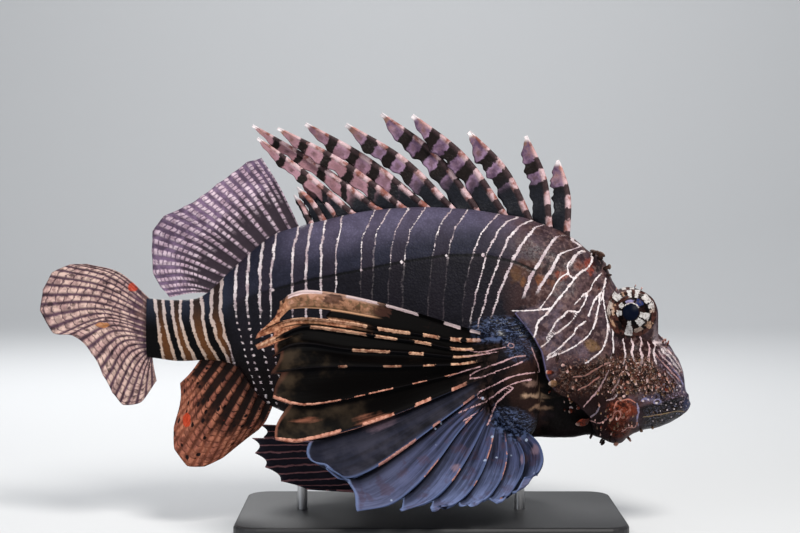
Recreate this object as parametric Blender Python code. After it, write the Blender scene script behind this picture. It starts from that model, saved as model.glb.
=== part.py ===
"""Red lionfish, life size, as a still museum-style model on a plain stand.

Frame: +X is where the fish looks, -Y is its right side, +Z is up. The origin is the
centre of the underside of the stand's base. Outlines are read on a sheet of units of
half a millimetre; at() carries a sheet point to the frame for a point that lies off
the fish's middle plane, allowing for the distance it was seen from.
"""
import math

import bmesh
import bpy
from mathutils import Matrix, Vector

# Driving dimensions, in metres.
UNIT = 0.0005
VIEW_DISTANCE = 0.944
VIEW_TILT = math.radians(2.5)
SHEET_CENTRE = (400.0, 266.5)
SHEET_ORIGIN = (430.0, 530.0)
GAP = 0.0003
ROOT_GAP = 0.0005
BASE_LENGTH = 0.190
BASE_WIDTH = 0.110
BASE_HEIGHT = 0.010
ROD_RADIUS = 0.0025
ROD_FRONT = 520.0
ROD_REAR = 302.0
ROD_DEPTH = 0.006
EYE_RADIUS = 0.0092
EYE_CENTRE = (630.5, 312.0)
EYE_OUT = 0.0130
SOCKET_ROOM = 0.0003
LOBE_CENTRE = (507.0, 382.0)
LOBE_SIZE = (0.0150, 0.0100, 0.0290)
LOBE_OUT = 0.0250
LOBE_LEAN = -0.20
WEB_HALF = 0.00028
RAY_ROOT_HALF = 0.00085
RAY_TIP_HALF = 0.00035
STALK_CUT = 206.0

# Profiles of the body: (along, down) on the sheet.
TOP = [(146, 298), (160, 299.5), (175, 300), (198, 298), (212, 289), (225, 276),
       (240, 262), (262, 243), (275, 234), (300, 226), (325, 220), (350, 214),
       (375, 210), (400, 208), (425, 207), (450, 208), (475, 210), (500, 214),
       (525, 218), (545, 225), (560, 231), (575, 240), (585, 248), (593, 254),
       (600, 257), (606, 266), (612, 281), (622, 294), (634, 303), (646, 314),
       (654, 328), (662, 338), (670, 346), (677, 357), (683, 370), (685, 380),
       (686.5, 388), (687.7, 395), (690, 402)]
BOTTOM = [(146, 357), (157, 358.5), (175, 361), (190, 361), (205, 360), (220, 361),
          (232, 364), (240, 370), (250, 385), (262, 400), (275, 408), (300, 418),
          (350, 432), (400, 439), (450, 442), (500, 440), (540, 437), (560, 438),
          (575, 437), (590, 435), (600, 438), (612, 443), (621, 443), (628, 437),
          (640, 430), (655, 427), (668, 421), (680, 415), (687, 411), (690, 408)]
# Half widths of the body: (along on the sheet, millimetres).
WIDTH = [(146, 4.5), (160, 5.0), (175, 5.6), (200, 7.5), (225, 9.5), (250, 12.5),
         (280, 16.0), (320, 20.5), (360, 23.5), (400, 25.2), (440, 26.0),
         (480, 26.0), (520, 25.0), (560, 24.0), (600, 22.5), (630, 20.0),
         (650, 17.0), (670, 13.5), (682, 10.0), (688, 7.0), (690, 4.5)]
# Line between the lips, from the corner of the mouth forward.
MOUTH = [(634, 410), (645, 405), (658, 402), (672, 398.5), (686, 395.5), (692, 394)]
# Leaf-like flaps of skin on each side of the head: root, lean, length, width in millimetres.
HEAD_FLAPS = [((600, 264), (1.0, 1.6), 5.0, 5.0), ((668, 349), (0.1, 1.0), 3.2, 1.8),
              ((612, 436), (-0.3, -1.0), 4.0, 3.0), ((627, 430), (0.2, -1.0), 3.6, 2.6)]
# Rear edge of the gill cover, from the back down to the throat.
GILL = [(573, 236), (566, 262), (556, 285), (545, 301), (528, 308), (514, 313),
        (523, 324), (533, 337), (541, 352), (546, 377), (555, 392), (574, 402),
        (590, 418), (600, 443)]
LATERAL_LINE = [(534, 270), (515, 262), (483, 255), (445, 255.5), (402, 262),
                (361, 270), (305, 281), (273, 290), (240, 300), (212, 312)]

# Dorsal spines: base, bend, tip, width of the banner behind it.
SPINES = [((566, 232), (568, 196), (559, 160), 14), ((549, 225), (544, 180), (526, 136), 15),
          ((531, 220), (506, 171), (470, 131), 17), ((507, 216), (465, 158), (413, 115), 17),
          ((480, 212), (437, 156), (382, 113), 16), ((455, 209), (405, 161), (347, 124), 15),
          ((430, 208), (370, 161), (306, 123), 14), ((407, 209), (345, 164), (279, 128), 12),
          ((383, 211), (318, 165), (253, 125), 9), ((356, 214), (309, 176), (259, 138), 9),
          ((339, 218), (322, 197), (302, 178), 8), ((325, 221), (313, 203), (298, 187), 5),
          ((312, 225), (304, 208), (294, 195), 2)]
WEB_RISE = 19.0

# Rays of the soft dorsal, anal and tail fins: base, bend, tip.
DORSAL_RAYS = [((299, 227), (280, 187), (262, 158)), ((290, 230), (268, 190), (247, 162)),
               ((280, 234), (255, 198), (232, 173)), ((269, 239), (242, 208), (217, 184)),
               ((259, 246), (230, 219), (202, 196)), ((250, 253), (219, 229), (186, 206)),
               ((242, 261), (208, 238), (165, 216)), ((234, 268), (196, 248), (153, 231)),
               ((227, 275), (188, 260), (151, 251)), ((220, 282), (185, 272), (152, 273)),
               ((214, 288), (190, 285), (160, 287)), ((212, 290), (192, 293), (170, 297))]
ANAL_RAYS = [((272, 407), (266, 421), (258, 431)), ((264, 402), (252, 426), (241, 444)),
             ((256, 394), (239, 430), (222, 459)), ((249, 385), (224, 430), (204, 467)),
             ((243, 376), (211, 424), (187, 466)), ((236, 368), (202, 412), (174, 449)),
             ((226, 362), (199, 396), (173, 428)), ((213, 361), (195, 384), (179, 403)),
             ((200, 361), (190, 373), (179, 384))]
TAIL_RAYS = [((147, 300), (120, 273), (86, 264)), ((147, 305), (112, 276), (68, 265)),
             ((147, 311), (104, 284), (50, 273)), ((147, 317), (100, 294), (41, 290)),
             ((147, 322), (96, 306), (39, 311)), ((147, 328), (102, 316), (53, 333)),
             ((147, 333), (109, 323), (75, 336)), ((147, 338), (117, 334), (93, 353)),
             ((147, 343), (124, 345), (104, 374)), ((147, 347), (131, 357), (113, 392)),
             ((147, 351), (139, 366), (123, 405)), ((147, 355), (146, 372), (140, 403)),
             ((148, 358), (153, 368), (155, 382))]

# Rays of the right breast fin: base on the lobe, then down the ray to its tip, and
# how far out from the middle plane the tip stands, in millimetres.
BREAST_RAYS = [([(498, 335), (455, 324), (400, 306), (350, 294), (305, 292), (285, 311)], 56),
               ([(494, 340), (435, 331), (375, 321), (320, 314), (280, 322), (259, 333)], 58),
               ([(491, 346), (430, 341), (365, 332), (310, 326), (276, 337), (259, 347)], 61),
               ([(489, 352), (425, 352), (360, 347), (310, 343), (285, 346), (272, 356)], 64),
               ([(487, 358), (425, 364), (370, 367), (320, 369), (290, 371), (271, 374)], 68),
               ([(486, 366), (430, 379), (385, 390), (335, 401), (300, 405), (273, 398)], 72),
               ([(485, 376), (430, 400), (380, 420), (335, 434), (300, 442), (276, 440)], 75),
               ([(485, 388), (445, 418), (405, 448), (370, 471), (345, 479), (327, 468)], 76),
               ([(487, 400), (460, 430), (437, 462), (415, 487), (390, 505), (357, 511)], 74),
               ([(490, 411), (474, 445), (460, 470), (445, 490), (428, 503), (402, 510)], 71),
               ([(496, 421), (490, 450), (481, 474), (468, 494), (452, 506), (434, 508)], 67),
               ([(504, 429), (507, 455), (503, 475), (495, 490), (486, 500), (472, 504)], 62),
               ([(514, 434), (524, 455), (523, 472), (516, 486), (508, 496), (498, 500)], 56),
               ([(525, 430), (538, 442), (543, 455), (542, 466), (536, 475), (524, 478)], 49)]
BELLY_RAYS = [([(500, -9), (498, 460), (440, 482), (385, 492), (337, 490)], 34),
              ([(493, -8), (480, 459), (420, 476), (360, 489), (307, 489)], 34),
              ([(486, -7.5), (465, 456), (400, 469), (335, 478), (281, 481)], 33),
              ([(479, -7.5), (450, 453), (385, 460), (320, 464), (265, 467)], 31),
              ([(472, -7.5), (440, 450), (375, 451), (310, 451), (255, 453)], 29),
              ([(465, -7.5), (430, 446), (370, 443), (310, 439), (252, 438)], 26)]

# Colour, roughness, metallic of each node.
LOOKS = {
    "head": ((0.16, 0.10, 0.085), 0.55, 0.0),
    "torso": ((0.045, 0.045, 0.055), 0.5, 0.0),
    "tail_stalk": ((0.30, 0.22, 0.17), 0.55, 0.0),
    "dorsal_fin_spiny": ((0.22, 0.15, 0.14), 0.5, 0.0),
    "dorsal_fin_soft": ((0.28, 0.20, 0.21), 0.5, 0.0),
    "anal_fin": ((0.36, 0.20, 0.15), 0.5, 0.0),
    "caudal_fin": ((0.45, 0.32, 0.30), 0.5, 0.0),
    "pectoral_fin_right": ((0.07, 0.065, 0.08), 0.45, 0.0),
    "pectoral_fin_left": ((0.07, 0.065, 0.08), 0.45, 0.0),
    "pelvic_fin_right": ((0.05, 0.05, 0.065), 0.5, 0.0),
    "pelvic_fin_left": ((0.05, 0.05, 0.065), 0.5, 0.0),
    "eye_right": ((0.03, 0.035, 0.06), 0.12, 0.0),
    "eye_left": ((0.03, 0.035, 0.06), 0.12, 0.0),
    "stand_base": ((0.035, 0.035, 0.035), 0.45, 0.0),
    "stand_rod_front": ((0.55, 0.55, 0.56), 0.3, 1.0),
    "stand_rod_rear": ((0.55, 0.55, 0.56), 0.3, 1.0),
}


def clear_scene():
    for obj in list(bpy.data.objects):
        bpy.data.objects.remove(obj, do_unlink=True)


def flat(px, py, y=0.0):
    """Frame point of a sheet point in the fish's middle plane, moved y sideways."""
    return Vector(((px - SHEET_ORIGIN[0]) * UNIT, y, (SHEET_ORIGIN[1] - py) * UNIT))


def at(px, py, y):
    """Frame point y metres off the middle plane that was seen at a sheet point."""
    sin = math.sin(VIEW_TILT)
    cos = math.cos(VIEW_TILT)
    u = (px - SHEET_CENTRE[0]) * UNIT
    v = (SHEET_CENTRE[1] - py) * UNIT
    rise = v * (VIEW_DISTANCE + y * cos) / VIEW_DISTANCE - y * sin
    rise /= cos + v * sin / VIEW_DISTANCE
    depth = VIEW_DISTANCE + y * cos - rise * sin
    centre = flat(SHEET_CENTRE[0], SHEET_CENTRE[1])
    return Vector((centre.x + u * depth / VIEW_DISTANCE, y, centre.z + rise))


def sheet(point):
    """Sheet numbers of a frame point, taken straight from the side."""
    return point.x / UNIT + SHEET_ORIGIN[0], SHEET_ORIGIN[1] - point.z / UNIT


def slope(table, i):
    if i == 0 or i == len(table) - 1:
        j = 1 if i == 0 else i
        return (table[j][1] - table[j - 1][1]) / (table[j][0] - table[j - 1][0])
    return (table[i + 1][1] - table[i - 1][1]) / (table[i + 1][0] - table[i - 1][0])


def read(table, x):
    """Smooth value of a table at x, with the end values kept beyond its ends."""
    if x <= table[0][0]:
        return table[0][1]
    if x >= table[-1][0]:
        return table[-1][1]
    i = max(k for k in range(len(table) - 1) if table[k][0] <= x)
    x0, y0 = table[i]
    x1, y1 = table[i + 1]
    h = x1 - x0
    t = (x - x0) / h
    m0 = slope(table, i) * h
    m1 = slope(table, i + 1) * h
    low, high = min(y0, y1), max(y0, y1)
    room = 0.25 * (high - low) + 0.5
    value = y0 * (2 * t**3 - 3 * t**2 + 1) + m0 * (t**3 - 2 * t**2 + t)
    value += y1 * (3 * t**2 - 2 * t**3) + m1 * (t**3 - t**2)
    return min(max(value, low - room), high + room)


def through(points, count):
    """Points evenly spaced in parameter on a smooth line through the given points."""
    ends = [2 * points[0] - points[1]] + points + [2 * points[-1] - points[-2]]
    line = []
    for k in range(count):
        s = k * (len(points) - 1) / (count - 1)
        i = min(int(s), len(points) - 2)
        t = s - i
        a, b, c, d = ends[i], ends[i + 1], ends[i + 2], ends[i + 3]
        p = 0.5 * (2 * b + (c - a) * t + (2 * a - 5 * b + 4 * c - d) * t**2)
        line.append(p + 0.5 * (3 * b - a - 3 * c + d) * t**3)
    return line


def hill(x, y, cx, cy, sx, sy):
    return math.exp(-((x - cx) / sx) ** 2 - ((y - cy) / sy) ** 2)


def ramp(x, low, high):
    t = min(max((x - low) / (high - low), 0.0), 1.0)
    return t * t * (3 - 2 * t)


def section(px, py):
    """Half width of the plain body at a sheet point, in metres."""
    top = read(TOP, px)
    bottom = read(BOTTOM, px)
    h = min(max(((top + bottom) / 2 - py) / ((bottom - top) / 2), -1.0), 1.0)
    full = 0.40 + 0.04 * ramp(px, 560, 640)
    return read(WIDTH, px) * 0.001 * (1 - h * h) ** full * (1 - 0.17 * h)


def head_half(px, py):
    """Half width of the head, with its gill cover, cheek ridge and jaw plate."""
    half = section(px, py)
    edge = min(half / 0.004, 1.0)
    lift = 0.0026 * (1 - ramp(px, 560, 610)) * ramp(py, 262, 300)
    ridge = 360 + (px - 575) * 0.11
    lift += 0.0019 * math.exp(-((py - ridge) / 9.0) ** 2) * ramp(px, 560, 585) * (1 - ramp(px, 660, 684))
    lift += 0.0016 * hill(px, py, 627, 412, 15, 13)
    lift -= 0.0016 * hill(px, py, 625, 342, 24, 9)
    lift += 0.0012 * hill(px, py, 600, 330, 16, 26)
    return half + edge * lift


def torso_half(px, py):
    """Half width of the trunk, hollowed behind the jaw and under the gill cover."""
    half = section(px, py)
    hollow = 0.30 * hill(px, py, 572, 412, 26, 26) + 0.16 * hill(px, py, 545, 375, 20, 30)
    hollow += 0.05 * hill(px, py, 520, 325, 14, 14)
    return half * (1 - hollow)


def gill_shift(py, nominal):
    """How far along the sheet the gill cover's edge lies from a straight cut."""
    points = [sheet(at(px, row, -0.026)) for px, row in GILL]
    for (x0, y0), (x1, y1) in zip(points, points[1:]):
        if py <= y1:
            t = min(max((py - y0) / (y1 - y0), 0.0), 1.0)
            return x0 + (x1 - x0) * t - nominal
    return points[-1][0] - nominal


def ring(nominal, weight, cut, shift, half, steps):
    """One closed row of body points, bent forward or back to follow the gill edge."""
    side = []
    for k in range(steps + 1):
        h = math.cos(math.pi * k / steps)
        x = nominal
        for _ in range(12):
            top = read(TOP, x)
            bottom = read(BOTTOM, x)
            py = (top + bottom) / 2 - h * (bottom - top) / 2
            x += 0.6 * (nominal + weight * (gill_shift(py, cut) + shift) - x) if weight else 0.0
        side.append((x, py, 0.0 if k in (0, steps) else half(x, py)))
    points = [flat(x, py, -y) for x, py, y in side]
    return points + [flat(x, py, y) for x, py, y in reversed(side[1:-1])]


def close_end(bm, row):
    """Close a row with faces that run straight across from side to side."""
    n = len(row)
    for i in range(n // 2):
        face = [row[i], row[i + 1], row[n - i - 1], row[(n - i) % n]]
        bm.faces.new(list(dict.fromkeys(face)))


def new_object(name, bm, smooth=True):
    bmesh.ops.recalc_face_normals(bm, faces=bm.faces)
    mesh = bpy.data.meshes.new(name)
    bm.to_mesh(mesh)
    bm.free()
    for polygon in mesh.polygons:
        polygon.use_smooth = smooth
    obj = bpy.data.objects.new(name, mesh)
    bpy.context.scene.collection.objects.link(obj)
    return obj


def loft(name, rings):
    bm = bmesh.new()
    rows = [[bm.verts.new(p) for p in points] for points in rings]
    for a, b in zip(rows, rows[1:]):
        for i in range(len(a)):
            j = (i + 1) % len(a)
            bm.faces.new((a[i], a[j], b[j], b[i]))
    close_end(bm, rows[0])
    close_end(bm, rows[-1])
    return new_object(name, bm)


def ball(name, centre, size, around=20, rows=12):
    """Closed egg shape with its poles along Y."""
    bm = bmesh.new()
    bmesh.ops.create_uvsphere(bm, u_segments=around, v_segments=rows, radius=1.0)
    bmesh.ops.rotate(bm, verts=bm.verts, cent=(0, 0, 0), matrix=Matrix.Rotation(math.pi / 2, 3, "X"))
    bmesh.ops.scale(bm, verts=bm.verts, vec=size)
    bmesh.ops.translate(bm, verts=bm.verts, vec=centre)
    return new_object(name, bm)


def rod(name, centre, radius, low, high, around=20):
    """Upright cylinder between two heights."""
    bm = bmesh.new()
    bmesh.ops.create_cone(bm, cap_ends=True, segments=around, radius1=radius, radius2=radius, depth=high - low)
    bmesh.ops.translate(bm, verts=bm.verts, vec=(centre.x, centre.y, (low + high) / 2))
    return new_object(name, bm)


def tube(name, line, radii, around=7):
    """Closed round bar along a line, its ends drawn in."""
    bm = bmesh.new()
    rows = []
    for i, point in enumerate(line):
        along = (line[min(i + 1, len(line) - 1)] - line[max(i - 1, 0)]).normalized()
        side = along.cross(Vector((0, 0, 1))).normalized()
        up = side.cross(along)
        turns = [2 * math.pi * k / around for k in range(around)]
        rows.append([bm.verts.new(point + radii[i] * (side * math.cos(a) + up * math.sin(a))) for a in turns])
    for a, b in zip(rows, rows[1:]):
        for i in range(around):
            j = (i + 1) % around
            bm.faces.new((a[i], a[j], b[j], b[i]))
    for row, point in ((rows[0], line[0]), (rows[-1], line[-1])):
        tip = bm.verts.new(point)
        for i in range(around):
            bm.faces.new((row[i], row[(i + 1) % around], tip))
    return new_object(name, bm)


def hoop(name, centre, radius, thick, lean, around=22, section_steps=6):
    """Closed round hoop facing sideways, for the rim of an eye socket."""
    bm = bmesh.new()
    rows = []
    for i in range(around):
        a = 2 * math.pi * i / around
        out = Vector((math.cos(a), 0, math.sin(a)))
        row = []
        for k in range(section_steps):
            b = 2 * math.pi * k / section_steps
            row.append(bm.verts.new(centre + out * (radius + thick * math.cos(b)) + Vector((0, thick * math.sin(b) + lean * out.z, 0))))
        rows.append(row)
    for i in range(around):
        a, b = rows[i], rows[(i + 1) % around]
        for k in range(section_steps):
            j = (k + 1) % section_steps
            bm.faces.new((a[k], a[j], b[j], b[k]))
    return new_object(name, bm)


def bake(obj):
    """Replace an object's mesh with what its modifiers make."""
    graph = bpy.context.evaluated_depsgraph_get()
    made = bpy.data.meshes.new_from_object(obj.evaluated_get(graph), depsgraph=graph)
    obj.modifiers.clear()
    obj.data = made


def keep_largest(obj):
    """Keep only the largest closed surface of an object."""
    bm = bmesh.new()
    bm.from_mesh(obj.data)
    bmesh.ops.remove_doubles(bm, verts=bm.verts, dist=0.000001)
    left = set(bm.faces)
    shells = []
    while left:
        stack = [left.pop()]
        shell = list(stack)
        while stack:
            for edge in stack.pop().edges:
                for face in edge.link_faces:
                    if face in left:
                        left.remove(face)
                        stack.append(face)
                        shell.append(face)
        shells.append(shell)
    shells.sort(key=lambda faces: sum(face.calc_area() for face in faces))
    for shell in shells[:-1]:
        bmesh.ops.delete(bm, geom=shell, context="FACES")
    bm.to_mesh(obj.data)
    bm.free()


def combine(obj, pieces, operation, solver="EXACT"):
    """Join pieces to an object, or cut them from it, with one Boolean."""
    group = bpy.data.collections.new(obj.name + "_pieces")
    bpy.context.scene.collection.children.link(group)
    for piece in pieces:
        group.objects.link(piece)
        piece.hide_render = operation == "DIFFERENCE"
        piece.display_type = "WIRE" if operation == "DIFFERENCE" else "TEXTURED"
    modifier = obj.modifiers.new(operation.title(), "BOOLEAN")
    modifier.operation = operation
    modifier.operand_type = "COLLECTION"
    modifier.collection = group
    modifier.solver = solver
    bake(obj)
    for piece in pieces:
        bpy.data.objects.remove(piece, do_unlink=True)
    bpy.data.collections.remove(group)
    keep_largest(obj)


def lip_line(drop, tip, sink):
    """Line of a lip from its left corner round to its right, drop below the mouth line."""
    stations = [646, 654, 662, 670, 677, 682, tip - 2.5]
    side = []
    for px in stations:
        py = read(MOUTH, px) + drop
        side.append(flat(px, py, sink - head_half(px, py)))
    py = read(MOUTH, tip) + drop
    half = side + [flat(tip, py, -0.0030), flat(tip + 0.5, py, 0.0)]
    return half + [Vector((p.x, -p.y, p.z)) for p in reversed(half[:-1])]


def mouth_slot():
    """Thin wedge that parts the lips, wider towards the front."""
    bm = bmesh.new()
    corner, front = 647.0, 705.0
    level = read(MOUTH, 692) - 0.23 * (front - 692)
    outline = [(corner, read(MOUTH, corner)), (front, level - 1.9), (front, level + 1.9)]
    near = [bm.verts.new(flat(px, py, -0.03)) for px, py in outline]
    far = [bm.verts.new(flat(px, py, 0.03)) for px, py in outline]
    bm.faces.new(near)
    bm.faces.new(list(reversed(far)))
    for i in range(3):
        j = (i + 1) % 3
        bm.faces.new((near[j], near[i], far[i], far[j]))
    return new_object("mouth_slot", bm)


def head_flap(root, lean, length, width, sign):
    """Flat leaf of skin, its lower third sunk in the side of the head."""
    half = head_half(root[0], root[1])
    leaf = ball("flap", Vector((0, 0, 0)), (width * 0.0005, 0.0007, length * 0.0006), 8, 5)
    up = Vector((lean[0], 0, lean[1])).normalized()
    turn = Matrix.Rotation(math.atan2(up.x, up.z), 3, "Y")
    centre = flat(root[0], root[1], sign * (half - 0.0004)) + up * length * 0.0003
    for vertex in leaf.data.vertices:
        vertex.co = turn @ vertex.co + centre
        vertex.co.y += sign * 0.3 * max(0.0, (vertex.co - centre).dot(up))
    return leaf


def build_head():
    stations = [560, 566, 573, 581, 590, 598, 605, 612, 620, 628, 636, 644, 651,
                658, 664, 670, 675, 680, 684, 687, 689, 690]
    rings = []
    for x in stations:
        weight = max(0.0, 1 - (x - 560) / 54)
        rings.append(ring(x, weight, 560.0, 0.0, head_half, 15))
    head = loft("head", rings)
    pieces = [tube("lip_upper", lip_line(-4.0, 687.0, 0.0007), [0.0009] + [0.0014] * 15 + [0.0009]),
              tube("lip_lower", lip_line(5.2, 690.3, 0.0008), [0.0009] + [0.0015] * 15 + [0.0009])]
    for sign in (-1, 1):
        eye = flat(EYE_CENTRE[0], EYE_CENTRE[1], sign * EYE_OUT)
        pieces.append(ball("brow", eye + Vector((0, -sign * 0.0015, -0.0008)), (0.0126, 0.0076, 0.0128), 18, 10))
        pieces.append(hoop("rim", eye + Vector((0, sign * 0.0036, 0)), 0.0095, 0.0015, -sign * 0.0006))
        pieces.append(ball("brow_tab", eye + Vector((-0.0085, sign * 0.002, 0.0105)), (0.0022, 0.0014, 0.0030), 10, 6))
        pieces.append(ball("nose_spine", flat(663, 344, sign * 0.0050), (0.0024, 0.0024, 0.0026), 12, 8))
        pieces.extend(head_flap(*flap, sign) for flap in HEAD_FLAPS)
    combine(head, pieces, "UNION")
    cuts = [mouth_slot()]
    for sign in (-1, 1):
        eye = flat(EYE_CENTRE[0], EYE_CENTRE[1], sign * EYE_OUT)
        size = EYE_RADIUS + SOCKET_ROOM
        cuts.append(ball("socket", eye, (size, size, size)))
        cuts.append(ball("nostril", flat(664, 357, sign * (section(664, 357) + 0.0002)), (0.0012, 0.0020, 0.0010), 10, 6))
    combine(head, cuts, "DIFFERENCE")
    return head


def lobe_point(px, py, sign):
    """Point on the fleshy root of the breast fin, and the way it faces."""
    centre = at(LOBE_CENTRE[0], LOBE_CENTRE[1], -LOBE_OUT)
    seen = at(px, py, -LOBE_OUT - 0.004)
    dx = (seen.x - centre.x - LOBE_LEAN * (seen.z - centre.z)) / LOBE_SIZE[0]
    dz = (seen.z - centre.z) / LOBE_SIZE[2]
    rest = math.sqrt(max(1 - dx * dx - dz * dz, 0.02))
    point = Vector((seen.x, -(LOBE_OUT + LOBE_SIZE[1] * rest), seen.z))
    lean = dz / LOBE_SIZE[2] - LOBE_LEAN * dx / LOBE_SIZE[0]
    out = Vector((dx / LOBE_SIZE[0], -rest / LOBE_SIZE[1], lean)).normalized()
    if sign > 0:
        point.y = -point.y
        out.y = -out.y
    return point, out


def build_torso():
    stations = [552, 546, 538, 528, 516, 503, 489, 474, 458, 440, 420, 400, 380, 360,
                340, 320, 302, 286, 272, 259, 247, 236, 225, 215, STALK_CUT + GAP / UNIT / 2]
    rings = []
    for x in stations:
        weight = ramp(x, 462, 552)
        rings.append(ring(x, weight, 552.0, -GAP / UNIT, torso_half, 15))
    torso = loft("torso", rings)
    pieces = []
    for sign in (-1, 1):
        centre = at(LOBE_CENTRE[0], LOBE_CENTRE[1], -LOBE_OUT)
        centre.y *= -sign
        lobe = ball("lobe", centre, LOBE_SIZE, 20, 12)
        for vertex in lobe.data.vertices:
            vertex.co.x += LOBE_LEAN * (vertex.co.z - centre.z)
        pieces.append(lobe)
        line = [sheet(at(px, py, -0.02)) for px, py in LATERAL_LINE]
        points = [flat(px, py, sign * (torso_half(px, py) - 0.0002)) for px, py in line]
        points = through(points, 17)
        pieces.append(tube("lateral_line", points, [0.0004] + [0.0008] * 15 + [0.0004], 5))
    combine(torso, pieces, "UNION")
    cuts = []
    for px in (ROD_FRONT, ROD_REAR):
        foot = flat(px, read(BOTTOM, px))
        cuts.append(rod("socket", foot, ROD_RADIUS + GAP, foot.z - 0.02, foot.z + ROD_DEPTH + GAP))
    combine(torso, cuts, "DIFFERENCE")
    return torso


def build_stalk():
    stations = [STALK_CUT - GAP / UNIT / 2, 198, 190, 181, 171, 161, 153, 148]
    return loft("tail_stalk", [ring(x, 0.0, 0.0, 0.0, section, 12) for x in stations])


def fin(name, columns, sideways=None):
    """Thin closed sheet from columns of (point, half thickness).

    Neighbouring columns are joined over the rows both have. Both faces are split
    into triangles the same way, and every free edge gets a narrow rim.
    """
    def facing(c, r):
        if sideways:
            return sideways
        left = columns[max(c - 1, 0)]
        right = columns[min(c + 1, len(columns) - 1)]
        column = columns[c]
        across = right[min(r, len(right) - 1)][0] - left[min(r, len(left) - 1)][0]
        along = column[min(r + 1, len(column) - 1)][0] - column[max(r - 1, 0)][0]
        return along.cross(across).normalized()

    bm = bmesh.new()
    near = []
    far = []
    for c, column in enumerate(columns):
        normals = [facing(c, r) for r in range(len(column))]
        near.append([bm.verts.new(p + n * h) for (p, h), n in zip(column, normals)])
        far.append([bm.verts.new(p - n * h) for (p, h), n in zip(column, normals)])
    edges = {}
    for c in range(len(columns) - 1):
        for r in range(min(len(columns[c]), len(columns[c + 1])) - 1):
            cell = [(c, r), (c, r + 1), (c + 1, r + 1), (c + 1, r)]
            for i, j, k in ((0, 1, 2), (0, 2, 3)):
                bm.faces.new([near[a][b] for a, b in (cell[i], cell[j], cell[k])])
                bm.faces.new([far[a][b] for a, b in (cell[k], cell[j], cell[i])])
            for a, b in zip(cell, cell[1:] + cell[:1]):
                key = (min(a, b), max(a, b))
                edges[key] = edges.get(key, 0) + 1
    for (a, b), count in edges.items():
        if count == 1:
            bm.faces.new((near[a[0]][a[1]], near[b[0]][b[1]], far[b[0]][b[1]]))
            bm.faces.new((near[a[0]][a[1]], far[b[0]][b[1]], far[a[0]][a[1]]))
    return new_object(name, bm)


def between(a, b, share, reach=1.0):
    """Column between two columns, ending short of their tips by the given reach."""
    rows = len(a)
    mixed = [p[0].lerp(q[0], share) for p, q in zip(a, b)]
    line = []
    for r in range(rows):
        s = r * reach
        i = min(int(s), rows - 2)
        line.append((mixed[i].lerp(mixed[i + 1], s - i), WEB_HALF))
    return line


def fan(rays, reach, beside=0.0):
    """Columns for a fan of rays: each ray, and the webs between them."""
    columns = []
    for i, ray in enumerate(rays):
        if beside and i > 0:
            columns.append(between(rays[i - 1], ray, 1 - beside, (1 + reach) / 2))
        columns.append(ray)
        if i < len(rays) - 1:
            if beside:
                columns.append(between(ray, rays[i + 1], beside, (1 + reach) / 2))
            columns.append(between(ray, rays[i + 1], 0.5, reach))
    return columns


def thin_out(points, root=RAY_ROOT_HALF, tip=RAY_TIP_HALF):
    last = len(points) - 1
    return [(p, root + (tip - root) * i / last) for i, p in enumerate(points)]


def median_ray(points, rows, lean):
    line = through([Vector((px, 0, py)) for px, py in points], rows)
    return thin_out([flat(p.x, p.z, lean * (i / (rows - 1)) ** 2) for i, p in enumerate(line)])


def build_soft_dorsal():
    rays = []
    for i, (base, bend, tip) in enumerate(DORSAL_RAYS):
        root = (base[0], read(TOP, base[0]) - ROOT_GAP / UNIT)
        rays.append(median_ray([root, bend, tip], 8, 0.004 * math.sin(i * 0.9)))
    return fin("dorsal_fin_soft", fan(rays, 0.95), Vector((0, 1, 0)))


def build_anal():
    rays = []
    for i, (base, bend, tip) in enumerate(ANAL_RAYS):
        root = (base[0] - 0.6, read(BOTTOM, base[0]) + 1.9 * ROOT_GAP / UNIT)
        rays.append(median_ray([root, bend, tip], 7, 0.003 * math.sin(1 + i * 0.9)))
    return fin("anal_fin", fan(rays, 0.95), Vector((0, 1, 0)))


def build_caudal():
    rays = []
    for i, (base, bend, tip) in enumerate(TAIL_RAYS):
        root = (base[0] - ROOT_GAP / UNIT, base[1])
        rays.append(median_ray([root, bend, tip], 9, 0.006 * math.sin(0.5 + i * 0.55)))
    return fin("caudal_fin", fan(rays, 0.96), Vector((0, 1, 0)))


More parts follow.
